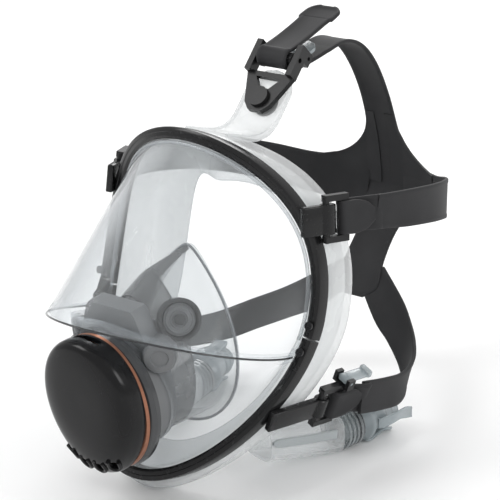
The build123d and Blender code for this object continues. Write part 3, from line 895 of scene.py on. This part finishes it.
@dataclass
class Visor:
    """The one-piece clear lens: a cone, a ledge and shelf, and the rounded part round the port."""

    wall: float = 2.2
    columns: int = 97
    split: float = 1.80
    edge_in: float = -4.1
    ledge_half: float = 71.5
    ledge_side: Vector = field(default_factory=lambda: Vector((0, 12.0, 84.0)))
    ledge_front: Vector = field(default_factory=lambda: Vector((0, -91.0, 117.5)))
    port_half: tuple[float, float] = (30.8, 38.8)

    def ledge(self, phi: float) -> Vector:
        """The crease between the cone and the shelf."""
        back = max(cos(phi), 0.0)
        low, high = self.ledge_side, self.ledge_front
        return Vector((self.ledge_half * sin(phi) * abs(sin(phi)) ** 0.2, low.y + (high.y - low.y) * back,
                       low.z + (high.z - low.z) * back ** 1.25))

    def root(self, phi: float) -> Vector:
        """The shelf's inner edge, where the rounded part starts."""
        inward = Vector((-sin(phi), cos(phi), 0))
        return self.ledge(phi) + inward * (4 + 22.5 * cos(phi) ** 2) - Vector((0, 0, 7 * cos(phi) ** 2))

    def column(self, f: float) -> Row:
        """The lens's outer line, from the top of the frame to its foot.

        Args:
            f: how far across, from -1 on the wearer's right to 1 on the left.

        Returns:
            The points of the line, equally many at every f.
        """
        phi = f * pi / 2
        inward = Vector((-sin(phi), cos(phi), 0))
        top, edge, root = RIM.place(f * self.split, self.edge_in, 1.0), self.ledge(phi), self.root(phi)
        foot = RIM.place(pi - (pi - self.split) * f, self.edge_in, 3.6)
        start = root - inward * 1.4 - Vector((0, 0, 1.6))
        middle = (start + foot) * 0.5 - inward * (1.0 + 14.0 * f * f * (1 - f * f))
        line = [top.lerp(edge, k / 14) for k in range(14)]
        line += [edge + Vector((0, 0, 0.5)), edge - Vector((0, 0, 0.5))]
        line += [edge.lerp(root, k / 5) for k in range(1, 5)]
        line += [Vector(p) for p in spline([root, start, middle, foot], 8)]
        return line

    def build(self) -> None:
        """Make the lens, a dark tube of painted shade along its ledge, and a bead along its edge tinted grey as
        painted shade.
        """
        rows = [self.column(f) for f in spread(-0.995, 0.995, self.columns)]
        lens = new_object("visor", skin(rows), inside=Vector((0, 20, 100)))
        low, high = (to_row(Vector((0, 0, z))).z for z in (self.ledge_side.z, self.ledge_front.z - 0.6))
        for f in lens.data.polygons:
            f.material_index = int(abs(f.normal.z) > 0.55 and low < f.center.z < high)
        for each in (LENS, SHELF):
            lens.data.materials.append(each.material())
        thicken(lens, self.wall)
        settle(lens)
        port = [[PORT @ Vector((self.port_half[0] * cos(a), self.port_half[1] * sin(a), s))
                 for a in angles(64)] for s in (-34.0, 24.0)]
        carve(lens, skin(port, wrap_cols=True, caps=True))
        dress(lens, LENS, "mask", ["visor_lens", "visor_lens_lower"], second=SHELF)
        # painted shade: a dark tube along the ledge crease, where the clear lens has only a fold
        bead = [self.ledge(f * pi / 2) for f in spread(-0.99, 0.99, 90)]
        line = new_object("visor_ledge_bead", tube(bead, 0.6, 8))
        dress(line, LEDGE_PAINTED_SHADE, "mask")
        # the lens's own edge, with a grey tint that is painted shade
        lip = [RIM.place(t, -5.3, 2.6) for t in spread(-1.75, 1.75, 120)]
        edge = new_object("visor_edge_bead", tube(lip, 1.1, 8))
        dress(edge, LENS_EDGE_PAINTED_SHADE, "mask")


PORT_LEAN = radians(8.0)
PORT = basis((0.0, -57.5, 67.0), (1, 0, 0), (0, -cos(PORT_LEAN), -sin(PORT_LEAN)))


@dataclass
class FaceSeal:
    """The clear silicone skirt behind the frame, with its forehead tab."""

    stations: int = 180
    tab_half: float = 16.0
    tab_line: Profile = (
        (24.0, 199.0), (32.0, 196.9), (42.0, 194.2), (52.0, 192.4), (62.0, 193.2), (69.0, 196.7),
        (75.3, 203.1), (78.3, 206.5), (83.6, 212.5), (88.0, 217.6), (92.6, 222.4))

    def outline(self, t: float) -> list[tuple[float, float]]:
        """The skirt's section: a lip in the frame, a wall back, and an inturned cushion.

        Args:
            t: how far round the frame, in radians from the top.

        Returns:
            Points (outwards, ahead) once round the section.
        """
        chin = max(0.0, -cos(t)) ** 1.5
        deep, out = 36.0 - 14.0 * chin, 3.2 - 1.2 * chin + 6.85 * chin ** 4
        turn = 17.0 + 6.0 * max(0.0, cos(t)) ** 2 + 10.0 * sin(t) ** 4
        corners = [(1.8, -6.2), (2.6, -8.0), (out, -10.6), (out + 0.3, -deep * 0.45), (out, -deep * 0.72),
                   (out - 2.0, -deep * 0.9), (out - 6.0, -deep + 0.4), (-12.0, -deep - 1.0),
                   (-turn, -deep - 0.4), (-turn - 0.6, -deep + 1.0), (-12.0, -deep + 1.6),
                   (out - 7.0, -deep + 3.8), (out - 4.0, -deep * 0.7), (out - 3.0, -deep * 0.45),
                   (out - 3.0, -10.4), (-2.2, -8.0), (-2.0, -6.2)]
        return [tuple(p) for p in spline(corners, 3, closed=True)]

    def tab(self) -> Mesh:
        """The forehead tab: a tongue with a raised edge and a round end.

        Returns:
            A closed surface.
        """
        line = spline(self.tab_line, 6)
        lengths = np.concatenate([[0], np.cumsum(np.linalg.norm(np.diff(line, axis=0), axis=1))])
        total, rows = lengths[-1], []
        for i, (y, z) in enumerate(line):
            near = total - lengths[i]
            half = self.tab_half if near > self.tab_half else sqrt(
                max(self.tab_half ** 2 - (self.tab_half - near) ** 2, 1.2))
            step = line[min(i + 1, len(line) - 1)] - line[max(i - 1, 0)]
            face = Vector((0, -step[1], step[0])).normalized()
            rise = 2.3 if near > 1.0 else 1.6
            lip = min(3.0, half * 0.6)
            edge = [(half, 0.6), (half - 0.7, rise), (half - lip * 0.7, rise), (half - lip, 1.0)]
            foot = [(half, -0.8), (half - 0.7, -1.5)]
            section = [(-u, h) for u, h in edge] + [(0, 1.0)] + edge[::-1]
            section += foot + [(0, -1.5)] + [(-u, h) for u, h in reversed(foot)]
            rows.append([Vector((u, y, z)) + face * h for u, h in section])
        return skin(rows, wrap_cols=True, caps=True)

    def build(self) -> None:
        """Make the skirt and the tab."""
        turns = [2 * pi * (k + 0.5) / self.stations for k in range(self.stations)]
        rows = [[RIM.place(t, out, ahead) for out, ahead in self.outline(t)] for t in turns]
        skirt = new_object("face_seal_skirt", skin(rows, wrap_rows=True, wrap_cols=True))
        dress(skirt, SEAL_SILICONE, "mask", ["face_seal"])
        tab = new_object("forehead_tab", self.tab())
        dress(settle(tab, 50), SEAL_SILICONE, "mask")


VALVE_CENTRE = Vector((26.5, -34.5, 110.5))
VALVE_AXIS = Vector((0.76, -0.58, 0.28)).normalized()


@dataclass
class HalfMask:
    """The silicone cup over the nose and mouth: a grey neck and ridge, and a clear skirt against the face."""

    wall: float = 1.9
    rings: tuple[tuple[float, ...], ...] = (
        (-36.9, 8.0, 24.0, 34, 119.0, .05), (-30.0, 6.0, 26.0, 34, 123.5, .12),
        (-22.0, 4.0, 27.5, 35, 129, .24), (-14.0, 1.0, 28.5, 36, 130.5, .36),
        (-6.0, -1.5, 30.0, 37, 131.5, .42), (2.0, -4.0, 31.0, 38, 132.0, .42))
    neck: float = 0.42
    flares: Profile = ((0.8, 0.9), (2.2, 1.2), (3.8, 0.8), (5.0, -0.4))
    disc: Profile = (
        (2.4, 3.2), (9.2, 3.2), (9.3, 3.6), (9.0, 4.1), (8.2, 4.2), (7.9, 4.7), (7.3, 4.7), (7.0, 4.2),
        (5.4, 4.2), (5.1, 4.8), (4.5, 4.8), (4.2, 4.3), (3.3, 4.3), (2.4, 4.3))

    def section(self, depth: float) -> Row:
        """A ring of the cup.

        Args:
            depth: 0 at the port, 1 at the face.

        Returns:
            The ring's points.
        """
        table = np.array(self.rings)
        x = depth * (len(table) - 1)
        i = min(int(x), len(table) - 2)
        y, lean, half, low, high, pear = table[i] + (table[i + 1] - table[i]) * (x - i)
        mid, tall = (low + high) / 2, (high - low) / 2
        ring = []
        for w in angles(84):
            rise = tall * sin(w)
            ridge = 1 + 0.07 * max(0.0, sin(w)) ** 14 * depth
            pinch = 1 - 0.16 * max(0.0, sin(w)) ** 3 * (1 - depth)
            ring.append(Vector((half * cos(w) * (1 - pear * sin(w)) * pinch,
                                y - tan(radians(lean)) * (mid + rise - 60), mid + rise * ridge)))
        return ring

    def flare(self, grow: float, back: float) -> Row:
        """A ring of the loose skirt beyond the cup's rear ring.

        Args:
            grow: how far outwards it lies.
            back: how far back it lies.

        Returns:
            The ring's points.
        """
        ring = self.section(1.0)
        centre = sum(ring, Vector()) / len(ring)
        out = []
        for w, p in zip(angles(len(ring)), ring):
            wave = 1.0 + 0.3 * max(0.0, cos(2 * w)) - 0.6 * max(0.0, sin(w)) ** 6
            away = Vector((p.x - centre.x, 0, p.z - centre.z)).normalized()
            out.append(p + away * grow * wave + Vector((0, back, 0)))
        return out

    def saddle(self) -> Mesh:
        """The ridge over the nose, wide at the port and narrow at its apex.

        Returns:
            An open sheet.
        """
        half, rows = 5, []
        for d in spread(0.04, 0.97, 18):
            ring = self.section(d)
            middle = sum(ring, Vector()) / len(ring)
            span = 5.6 * (1 - d) + 1.3
            picks = [len(ring) // 4 + span * j / half for j in range(-half, half + 1)]
            row = [ring[int(q)].lerp(ring[int(q) + 1], q - int(q)) for q in picks]
            rows.append([p + (p - middle).normalized() * (0.9 + 1.6 * d * (1 - abs(j) / half))
                         for j, p in zip(range(-half, half + 1), row)])
        return skin(rows)

    def build(self) -> None:
        """Make the neck, the skirt, the ridge, the valve discs and the bead round the skirt's edge."""
        rows = [self.section(d) for d in spread(0, self.neck, 12)]
        neck = new_object("half_mask_neck", skin(rows, wrap_cols=True), inside=Vector((0, -25, 80)))
        thicken(neck, self.wall)
        dress(settle(neck, 55), CUP_SILICONE, "mask", ["nose_cup"])
        rows = [self.section(d) for d in spread(self.neck + 0.004, 1, 14)]
        rows += [self.flare(grow, back) for grow, back in self.flares]
        skirt = new_object("half_mask_skirt", skin(rows, wrap_cols=True), inside=Vector((0, -12, 80)))
        thicken(skirt, 1.2)
        dress(settle(skirt, 55), CUP_SKIRT, "mask")
        ridge = new_object("half_mask_ridge", self.saddle(), inside=Vector((0, -15, 80)))
        thicken(ridge, 1.6)
        dress(settle(ridge, 35), CUP_SILICONE, "mask")
        axes = Matrix.Translation(VALVE_CENTRE) @ VALVE_AXIS.to_track_quat("Z", "Y").to_matrix().to_4x4()
        for side in Side:
            disc = new_object(f"inhalation_disc_{side.value}", side.mesh(moved(turned(self.disc, 64), axes)))
            dress(settle(disc, 30), VALVE_RUBBER, f"inhalation_flap_{side.value}",
                  [f"inhalation_valve_{side.value}"])
        edge = self.flare(5.2, -0.9)
        rim = new_object("half_mask_rim", tube(edge + edge[:2], 0.8, 8))
        dress(rim, CUP_RIM, "mask")


@dataclass
class FrontUnit:
    """The exhalation unit: the housing, its grey lightened as painted light, a smoky ring, a copper band and
    the black cover.
    """

    half: tuple[float, float] = (32.0, 42.3)
    base: float = 11.2
    deep: float = 18.0
    rise: float = 8.5
    wall: float = 2.2
    vent_row: float = -33.5
    vent_spots: Widths = (-15.0, -5.0, 5.0, 15.0)
    hook: Profile = ((-3.0, 4.2), (-3.2, 0.4), (-2.6, -2.4), (0, -3.9), (2.6, -2.4), (3.2, 0.4), (3.0, 4.2))
    dome: Profile = (
        (0.985, 0.0), (1.0, 0.16), (0.99, 0.38), (0.945, 0.64), (0.83, 0.85), (0.60, 0.965), (0.30, 1.0),
        (0.02, 1.0))
    ring_profile: Profile = (
        (-4.2, 3.0), (2.6, 3.0), (3.1, 3.6), (2.9, 6.4), (1.4, 8.6), (0.6, 8.9), (-4.2, 8.9))
    band_profile: Profile = ((-4.0, 9.0), (0.9, 9.0), (1.1, 9.3), (0.2, 10.9), (-0.4, 11.1), (-4.0, 11.1))

    tube_wall: Profile = ((-2.0, -17.0), (1.6, -17.0), (2.0, -16.6), (2.0, 2.0), (1.6, 2.5), (-2.0, 2.5))
    shoulder: Profile = (
        (-26.5, 22.0), (-25.5, 32.0), (-21.5, 41.0), (-18.0, 50.0), (-15.5, 52.4), (15.5, 52.4), (18.0, 50.0),
        (21.5, 41.0), (25.5, 32.0), (26.5, 22.0), (19.0, 28.3), (9.0, 34.4), (-9.0, 34.4), (-19.0, 28.3))
    boss: Profile = (
        (0.05, -6.5), (8.6, -6.5), (9.4, -5.6), (9.4, 5.0), (8.4, 6.2), (5.2, 6.2), (4.6, 5.4), (0.05, 5.4))

    def ring(self, scale: float, s: float) -> Row:
        """An egg-shaped ring of the dome.

        Args:
            scale: its size, as a share of the dome's largest ring.
            s: how far out it lies, as a share of the dome's depth.

        Returns:
            The ring's points.
        """
        return [PORT @ Vector((self.half[0] * scale * (1 + 0.07 * sin(w)) * cos(w),
                               self.half[1] * scale * sin(w) + self.rise * s * s, self.base + self.deep * s))
                for w in angles(96)]

    def oval(self, profile: Sequence[tuple[float, float]], wide: float, tall: float) -> Mesh:
        """Carry a section round an oval of the port.

        Args:
            profile: the closed section's (outwards, ahead).
            wide: the oval's half width.
            tall: the oval's half height.

        Returns:
            A closed surface.
        """
        rows = [[PORT @ Vector(((wide + out) * cos(w), (tall + out) * sin(w), ahead)) for out, ahead in profile]
                for w in angles(96)]
        return skin(rows, wrap_rows=True, wrap_cols=True)

    def cover(self) -> None:
        """The glossy cover with its vents and grip notch."""
        rows = [self.ring(*step) for step in spline(self.dome, 5)]
        cover = new_object("exhalation_dome", skin(rows, wrap_cols=True), inside=PORT @ Vector((0, 0, 0)))
        bm = bmesh.new()
        bm.from_mesh(cover.data)
        tip = to_row(PORT @ Vector((0, self.rise, self.base + self.deep)))
        crown = [e for e in bm.edges if len(e.link_faces) == 1 and (e.verts[0].co - tip).length < 0.006]
        bmesh.ops.holes_fill(bm, edges=crown, sides=0)
        bm.to_mesh(cover.data)
        bm.free()
        thicken(cover, self.wall)
        settle(cover)
        spots = [self.on_dome(x, self.vent_row + 0.016 * x * x) for x in self.vent_spots]
        carve(cover, merge(*[moved(block((3.6, 5.4, 8.0), (0, 0.6, 0), 1.2), spot) for spot in spots]))
        carve(cover, moved(block((19.0, 10.0, 4.4), (0, 44.5, self.base + 5.0), 1.3), PORT))
        dress(cover, COVER_BLACK, "cover", ["exhalation_cover"])
        smooth = [Vector(p) for p in spline([(x, y, 0.1) for x, y in self.hook], 4)]
        lips = RepeatTree(spots).build("vent_lips", tube(smooth, 1.2, 10), COVER_BLACK)
        dress(lips, COVER_BLACK, "cover")

    def height(self, x: float, y: float) -> float:
        """How far the dome stands out over a point of the port.

        Args:
            x: the point's place across.
            y: the point's place upwards.

        Returns:
            The height along the port's axis.
        """
        table = np.array(self.dome)
        for k in range(100, -1, -1):
            s = k / 100
            scale = float(np.interp(s, table[:, 1], table[:, 0]))
            v = y - self.rise * s * s
            if (x / (self.half[0] * scale)) ** 2 + (v / (self.half[1] * scale)) ** 2 <= 1:
                return self.base + self.deep * s
        return self.base

    def on_dome(self, x: float, y: float) -> Matrix:
        """Axes on the dome's face over a point of the port.

        Args:
            x: the point's place across.
            y: the point's place upwards.

        Returns:
            Axes with z outwards and y up.
        """
        step = 2.5
        lean_x = (self.height(x + step, y) - self.height(x - step, y)) / (2 * step)
        lean_y = (self.height(x, y + step) - self.height(x, y - step)) / (2 * step)
        out = Vector((-lean_x, -lean_y, 1)).normalized()
        up = (Vector((0, 1, 0)) - out * out.y).normalized()
        axes = Matrix((up.cross(out), up, out)).transposed().to_4x4()
        axes.translation = Vector((x, y, self.height(x, y)))
        return PORT @ axes

    def housing(self) -> None:
        """Make the housing behind the lens, its grey lightened as painted light: an oval tube, a sloping
        shoulder and two bosses.
        """
        rows = [[PORT @ Vector((x * k, u, s)) for x, u in self.shoulder]
                for k, s in ((0.96, -16.0), (1.0, -14.8), (1.0, -5.2), (0.96, -3.8))]
        shoulder = skin(rows, wrap_cols=True, caps=True)
        boss = skin(stacked(self.boss, 40), wrap_cols=True, caps=True)
        bosses = [moved(boss, PORT @ Matrix.Translation((way * 27.5, 27.5, -10.0))
                        @ Matrix.Rotation(way * radians(38), 4, "Y")) for way in (1, -1)]
        made = new_object("valve_housing_body", merge(self.oval(self.tube_wall, 28.0, 36.0), shoulder, *bosses))
        dress(settle(made, 35), HOUSING_PAINTED_LIGHT, "mask", ["valve_housing"])

    def build(self) -> None:
        """Make the housing, the rings and the cover."""
        self.housing()
        smoke = new_object("port_ring_smoke", self.oval(self.ring_profile, 32.6, 39.6))
        dress(settle(smoke, 30), SMOKE, "mask", ["port_ring"])
        band = new_object("copper_band", self.oval(self.band_profile, 31.4, 40.6))
        dress(settle(band, 30), COPPER, "mask", ["accent_ring"])
        self.cover()


@dataclass
class AirDuct:
    """One clear air duct beside the chin; the right one is its mirror image."""

    sections: tuple[tuple[float, float, float, float, float], ...] = (
        (42.0, 18.0, 22.0, 26, 22), (46.5, 36.0, 18.4, 25, 22.4), (52.0, 56.0, 15.4, 24, 23),
        (57.0, 72.0, 13.6, 23, 24))
    wall: float = 1.9
    plug: Profile = (
        (8.6, 2.0), (8.8, 14.4), (9.6, 15.0), (10.2, 18.0), (12.9, 20.6), (13.2, 21.4), (13.2, 23.4),
        (12.8, 24.2), (11.2, 25.0), (10.2, 28.0), (9.8, 34.0), (9.0, 35.4), (9.0, 36.2), (9.8, 36.8),
        (9.8, 38.0), (8.9, 38.8), (8.8, 41.6), (9.7, 42.4), (9.7, 43.6), (8.8, 44.4), (8.5, 48.0), (6.5, 48.0),
        (6.5, 2.0))

    bar_out: float = 0.4
    wing: Path = (
        (10.4, 0, 20.6), (12.4, 0, 25.0), (12.3, 0, 31.0), (11.0, 0, 38.0), (11.4, 0, 43.0), (12.8, 0, 47.0))
    wing_widths: Widths = (15, 14, 11.5, 10, 10.5, 8.5)
    lever: Path = (
        (12.6, 0, 26.0), (13.4, 0, 30.0), (13.2, 0, 38.0), (12.4, 0, 45.0), (13.0, 0, 50.0), (14.6, 0, 53.4))
    lever_widths: Widths = (6.2, 7.0, 6.4, 6.0, 7.4, 7.0)
    clamp: Profile = ((11.8, 10.2), (12.7, 10.4), (13.0, 13.6), (12.6, 14.6), (11.8, 14.6))

    def ring(self, x: float, y: float, z: float, wide: float, high: float) -> Row:
        """A rounded rectangle across the duct.

        Args:
            x, y, z: its middle.
            wide: its width.
            high: its height.

        Returns:
            The ring's points.
        """
        out = []
        for a in angles(56):
            c, s = cos(a), sin(a)
            r = 1 / (abs(c) ** 3.4 + abs(s) ** 3.4) ** (1 / 3.4)
            u, v = wide / 2 * r * c, high / 2 * r * s
            out.append(Vector((x + u, y - 0.25 * u, z + v)))
        return out

    def build(self) -> None:
        """Make the left and the right duct."""
        rows = []
        for i, (x, y, z, wide, high) in enumerate(spline(self.sections, 9)):
            swell = 0.55 * max(0.0, sin(i * 1.35)) ** 3
            rows.append(self.ring(x, y, z, wide - 0.6 + swell, high - 0.6 + swell))
        for side in Side:
            duct = new_object(f"air_duct_{side.value}", side.mesh(skin(rows, wrap_cols=True)),
                              inside=side.point(Vector((50, 45, 17))))
            thicken(duct, self.wall)
            dress(settle(duct), DUCT_SILICONE, "mask", [f"air_arm_{side.value}"])
        self.fittings()

    def fittings(self) -> None:
        """Make the channel bars, the collars' brackets, the plugs with their finger wings, and the latches."""
        bar_line = [(x + wide / 2 + self.bar_out, y - wide / 8, z + 3.2)
                    for x, y, z, wide, _ in spline(self.sections, 4)[:-2]]
        across, bar_widths = [(0, 0, 1)] * len(bar_line), [1.6, 4.6] + [5.4] * (len(bar_line) - 2)
        bar = smooth_ribbon(bar_line, across, bar_widths, 1.6, 3)
        plug = skin(stacked(self.plug, 56), wrap_rows=True, wrap_cols=True)
        wing = smooth_ribbon(self.wing, [(0, 1, 0)] * 6, self.wing_widths, 2.0)
        wings = [moved(wing, Matrix.Rotation(turn, 4, "Z")) for turn in (pi / 2, -pi / 2)]
        body = moved(merge(plug, *wings), PLUG)
        lever = moved(smooth_ribbon(self.lever, [(0, 1, 0)] * 6, self.lever_widths, 2.0), PLUG)
        bracket = moved(turned(self.clamp, 56), PLUG)
        for side in Side:
            word = side.value
            for name, mesh, finish, rider, slot, nodes in (
                    ("channel_bar", bar, INSERT_GREY, "mask", "grey_plastic", [f"duct_insert_{word}"]),
                    ("air_plug", body, FROSTED, "mask", "translucent_plastic", [f"connector_{word}"]),
                    ("collar_clamp", bracket, BRACKET_SMOKE, "mask", "smoke_plastic", []),
                    ("plug_lever", lever, FROSTED, f"latch_{word}", "translucent_plastic",
                     [f"connector_latch_{word}"])):
                dress(settle(new_object(f"{name}_{word}", side.mesh(mesh)), 45), finish, rider, nodes)


@dataclass
class Harness:
    """The moulded rubber harness at the back of the head and the strap ends in the buckles."""

    thick: float = 2.2
    spine: Profile = (
        (129.0, 230.2), (148.0, 233.0), (166.0, 227.0), (182.0, 212.0), (196.0, 190.0), (206.0, 166.0),
        (212.0, 143.0), (214.0, 121.0), (205.0, 100.0), (190.0, 81.0), (180.0, 65.0), (176.0, 57.5))
    spine_widths: Widths = (22, 22, 22, 22, 22, 24, 33, 58, 31, 29, 33, 14)
    temple_arm: Path = (
        (89, 66, 159.2), (94, 90, 156.5), (93, 120, 152), (84, 148, 146), (68, 174, 138), (50, 194, 130),
        (32, 207, 126), (14, 213, 124))
    temple_widths: Widths = (20, 22, 23, 24, 25, 27, 32, 42)
    lower_arm: Path = (
        (80, 68, 42.5), (81.5, 90, 38), (79, 112, 33.5), (72, 132, 33.5), (60, 149, 39), (45, 163, 46),
        (30, 173, 54.5), (9, 184.5, 71))
    lower_widths: Widths = (20, 20, 20, 20, 20, 21, 23.5, 20)
    lower_ups: Path = (
        (0, .1, 1), (0, .1, 1), (0, .2, 1), (.1, .3, 1), (.25, .4, 1), (.4, .5, .9), (.55, .5, .8),
        (.6, .5, .8))
    web_radius: float = 34.0
    web_edge: float = 10.5
    web_foot: float = 142.0
    side_loop: Path = (
        (23.5, -3.2, 0), (18.0, -3.4, 0), (11.0, -3.5, 0), (6.0, -3.45, 0), (2.9, -2.9, 0), (1.75, 0, 0),
        (2.9, 2.9, 0), (6.0, 3.45, 0), (11.0, 3.2, 0))
    side_widths: Widths = (7, 15.5, 19, 19, 19, 19, 19, 19, 19, 19.5, 20, 20)
    roller: Vector = field(default_factory=lambda: Vector((27.0, 0, 7.2)))
    roller_radius: float = 4.0
    tail: Path = (
        (0, 143.0, 253.4), (0, 141.6, 252.9), (0, 138.0, 251.6), (0, 129.5, 248.6), (0, 128.5, 248.2),
        (0, 108.0, 241.2))
    feed: Path = ((0, 98.5, 224.6), (0, 102.0, 225.2), (0, 116.0, 227.4), (0, 129.0, 230.3), (0, 134.0, 231.2))

    def build(self) -> None:
        """Make the harness and every strap end."""
        middle = [(0, y, z) for y, z in self.spine]
        spine = smooth_ribbon(middle, [(1, 0, 0)] * 12, self.spine_widths, self.thick)
        temple = smooth_ribbon(self.temple_arm, [(0, 0, 1)] * 8, self.temple_widths, self.thick)
        lower = smooth_ribbon(self.lower_arm, self.lower_ups, self.lower_widths, self.thick)
        fillet = self.fillet()
        web = new_object("head_harness", merge(spine, temple, mirrored(temple), lower, mirrored(lower),
                                               fillet, mirrored(fillet)))
        arms = [f"harness_{kind}_arm_{side.value}" for kind in ("temple", "lower") for side in Side]
        dress(settle(web), STRAP, "mask", ["harness_spine", *arms])
        self.side_straps()
        self.forehead_strap()
        self.release_tabs()

    def fillet(self) -> Mesh:
        """Build the left of the two webs that round the corners between the crown strap and the temple arms.

        Returns:
            A closed sheet, a little thinner than the straps that it joins.
        """
        radius, half, steps = self.web_radius, 0.45 * self.thick, 8
        line, arm = spline(self.spine, steps), spline(self.temple_arm, steps)
        falling = line[3 * steps:8 * steps]
        rows: list[Row] = []
        for z in spread(176.0, 126.0, 26):
            drop = min(radius, max(0.0, self.web_foot + radius - z))
            reach = self.web_edge + radius - sqrt(radius ** 2 - drop ** 2)
            back = float(np.interp(-z, -falling[:, 1], falling[:, 0]))
            sheet = []
            for x in spread(4.0, reach, 14):
                bow = 213.5 - float(np.interp(x, arm[::-1, 0], arm[::-1, 1]))
                sheet.append(Vector((x, back - max(0.0, bow), z)))
            wall = Vector((0, half, 0))
            rows.append([p + wall for p in sheet] + [p - wall for p in reversed(sheet)])
        return skin(rows, wrap_cols=True, caps=True)

    def release_tabs(self) -> None:
        """Make the clear finger tabs on the lower buckles, with a raised end and a pivot barrel."""
        x, z = 8.0, 16.5
        barrel = [Vector((x, y, z)) for y in (-6.2, -4.0, 0.0, 4.0, 6.2)]
        tab = moved(merge(block((14.6, 7.6, 3.0), (x + 8.8, 0, z + 0.3), 1.3),
                          block((3.6, 8.8, 4.6), (x + 16.6, 0, z + 0.9), 1.4),
                          block((4.6, 7.0, 4.6), (x, 0, z), 1.6), tube(barrel, 1.05, 14)), LOWER)
        for side in Side:
            piece = new_object(f"release_tab_{side.value}", side.mesh(tab))
            dress(settle(piece, 45), FROSTED, f"lower_release_{side.value}",
                  [f"lower_release_tab_{side.value}"])

    def side_straps(self) -> None:
        """Make the strap ends doubled round the side buckles' rear bars, each with a rounded free end."""
        for kind, axes, arm in (("temple", TEMPLE, self.temple_arm), ("lower", LOWER, self.lower_arm)):
            back = axes.inverted()
            first, second = back @ Vector(arm[0]), back @ Vector(arm[1])
            line = [*self.side_loop, (18.0, 1.6, first.z * 0.5), tuple(first), tuple(first.lerp(second, 0.18))]
            made = moved(smooth_ribbon(line, [(0, 0, 1)] * len(line), self.side_widths, self.thick, 6), axes)
            bar, far = axes @ Vector((7, 0, 0)), Vector(arm[0])
            for side in Side:
                strap = settle(new_object(f"{kind}_strap_{side.value}", side.mesh(made)))
                body = f"{kind}_buckle_{side.value}"
                dress(strap, STRAP, body, [f"{kind}_strap_end_{side.value}"])
                strap.parent = None
                to_row(side.point(bar))
                to_row(side.point(far))
                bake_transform(strap)

    def forehead_strap(self) -> None:
        """Make the top strap round the roller, with its long free tail, and the feed from the harness."""
        centre, r = TAB @ self.roller, self.roller_radius + 0.5 + self.thick / 2
        wrap = [(0, centre.y + r * cos(radians(a)), centre.z + r * sin(radians(a))) for a in spread(75, 285, 9)]
        line = [*self.tail, *wrap, self.feed[1]]
        widths = [13, 18, 23.5, 24.5, 21.5] + [21] * (len(line) - 5)
        made = smooth_ribbon(line, [(1, 0, 0)] * len(line), widths, self.thick, 5)
        strap = settle(new_object("forehead_strap", made))
        dress(strap, STRAP, "forehead_clip", ["forehead_strap_end"])
        made = smooth_ribbon(self.feed, [(1, 0, 0)] * 5, [21, 21, 21, 22, 22], self.thick, 6)
        joined = settle(new_object("forehead_feed", made))
        dress(joined, STRAP, "forehead_clip")
        joined.parent = None
        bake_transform(joined)


PLUG = basis((57.3, 73.0, 13.4), (0.9852, -0.1709, 0), (0.1709, 0.9851, 0.0201))
TEMPLE = basis((79.0, 41.0, 160.0), (0.36, 0.93, -0.03), (-0.15, -0.12, 0.98))
LOWER = basis((75.0, 40.0, 47.0), (0.19, 0.98, -0.04), (0.30, -0.20, 0.93))
TAB = basis((0, 78.3, 206.5), (0, 0.66, 0.75), (0, -0.75, 0.66))


@dataclass
class Studio:
    """Floor, light and camera."""

    eye: Vector = field(default_factory=lambda: Vector((0.6040, -0.7819, 0.4516)))
    aim: Vector = field(default_factory=lambda: Vector((0.0253, -0.0301, 0.1320)))
    lens: float = 125.6
    sensor: float = 36.0
    glow: float = 0.72
    reach: float = 4.0
    lamps: tuple[tuple[str, tuple[float, float, float], float, float], ...] = (
        ("key", (-0.9, -1.1, 1.5), 0.9, 16.0), ("rim", (-0.7, 1.4, 1.2), 0.8, 12.0),
        ("side", (1.7, 0.3, 0.9), 0.7, 8.0))

    def lamp(self, name: str, place: Sequence[float], size: float, power: float) -> None:
        """Add a square soft lamp that faces the mask.

        Args:
            name: its name.
            place: where it stands, in row metres.
            size: the length of its side.
            power: its power in watts.
        """
        data = bpy.data.lights.new(name, "AREA")
        data.energy, data.size, data.shape = power, size, "SQUARE"
        lamp = bpy.data.objects.new(name, data)
        lamp.location = place
        lamp.rotation_euler = (Vector((0, 0, 0.1)) - Vector(place)).to_track_quat("-Z", "Y").to_euler()
        bpy.context.scene.collection.objects.link(lamp)

    def build(self) -> None:
        """Set the stage."""
        s = Shader("stage_paper")
        colour = s.blend(s.noise(3.0), (0.93, 0.93, 0.93), (0.91, 0.91, 0.91))
        paper = s.node("ShaderNodeBsdfPrincipled", Base_Color=colour, Roughness=0.75,
                       Normal=s.bump(s.noise(900.0), 0.0001, 0.1))
        s.close(paper.outputs[0])
        corners = ((-1, -1), (1, -1), (1, 1), (-1, 1))
        verts = [Vector((x * self.reach, y * self.reach, 0)) / MM + DATUM for x, y in corners]
        floor = new_object("floor", (verts, [(0, 1, 2, 3)]), inside=Vector((0, 0, -5000)))
        floor.data.materials.append(s.material)
        world = bpy.data.worlds.new("studio")
        world.use_nodes = True
        sky = world.node_tree.nodes["Background"]
        sky.inputs["Color"].default_value = (1, 1, 1, 1)
        sky.inputs["Strength"].default_value = self.glow
        scene = bpy.context.scene
        scene.world = world
        scene.view_settings.view_transform = "Standard"
        if hasattr(scene, "cycles"):
            scene.cycles.transparent_max_bounces = 32
        for lamp in self.lamps:
            self.lamp(*lamp)
        data = bpy.data.cameras.new("camera")
        data.lens, data.sensor_width, data.clip_start = self.lens, self.sensor, 0.01
        camera = bpy.data.objects.new("camera", data)
        camera.location = self.eye
        camera.rotation_euler = (self.aim - self.eye).to_track_quat("-Z", "Y").to_euler()
        scene.collection.objects.link(camera)
        scene.camera = camera


def main() -> None:
    """Build every sub-assembly in order."""
    logging.basicConfig(level=logging.INFO, format="%(name)s: %(message)s")
    dress_frame_nodes()
    for part in (Studio(), ClampFrame(), Visor(), FaceSeal(), HalfMask(), FrontUnit(), AirDuct(), Harness()):
        part.build()
        LOG.info("%s done", type(part).__name__)


if __name__ == "__main__":
    main()
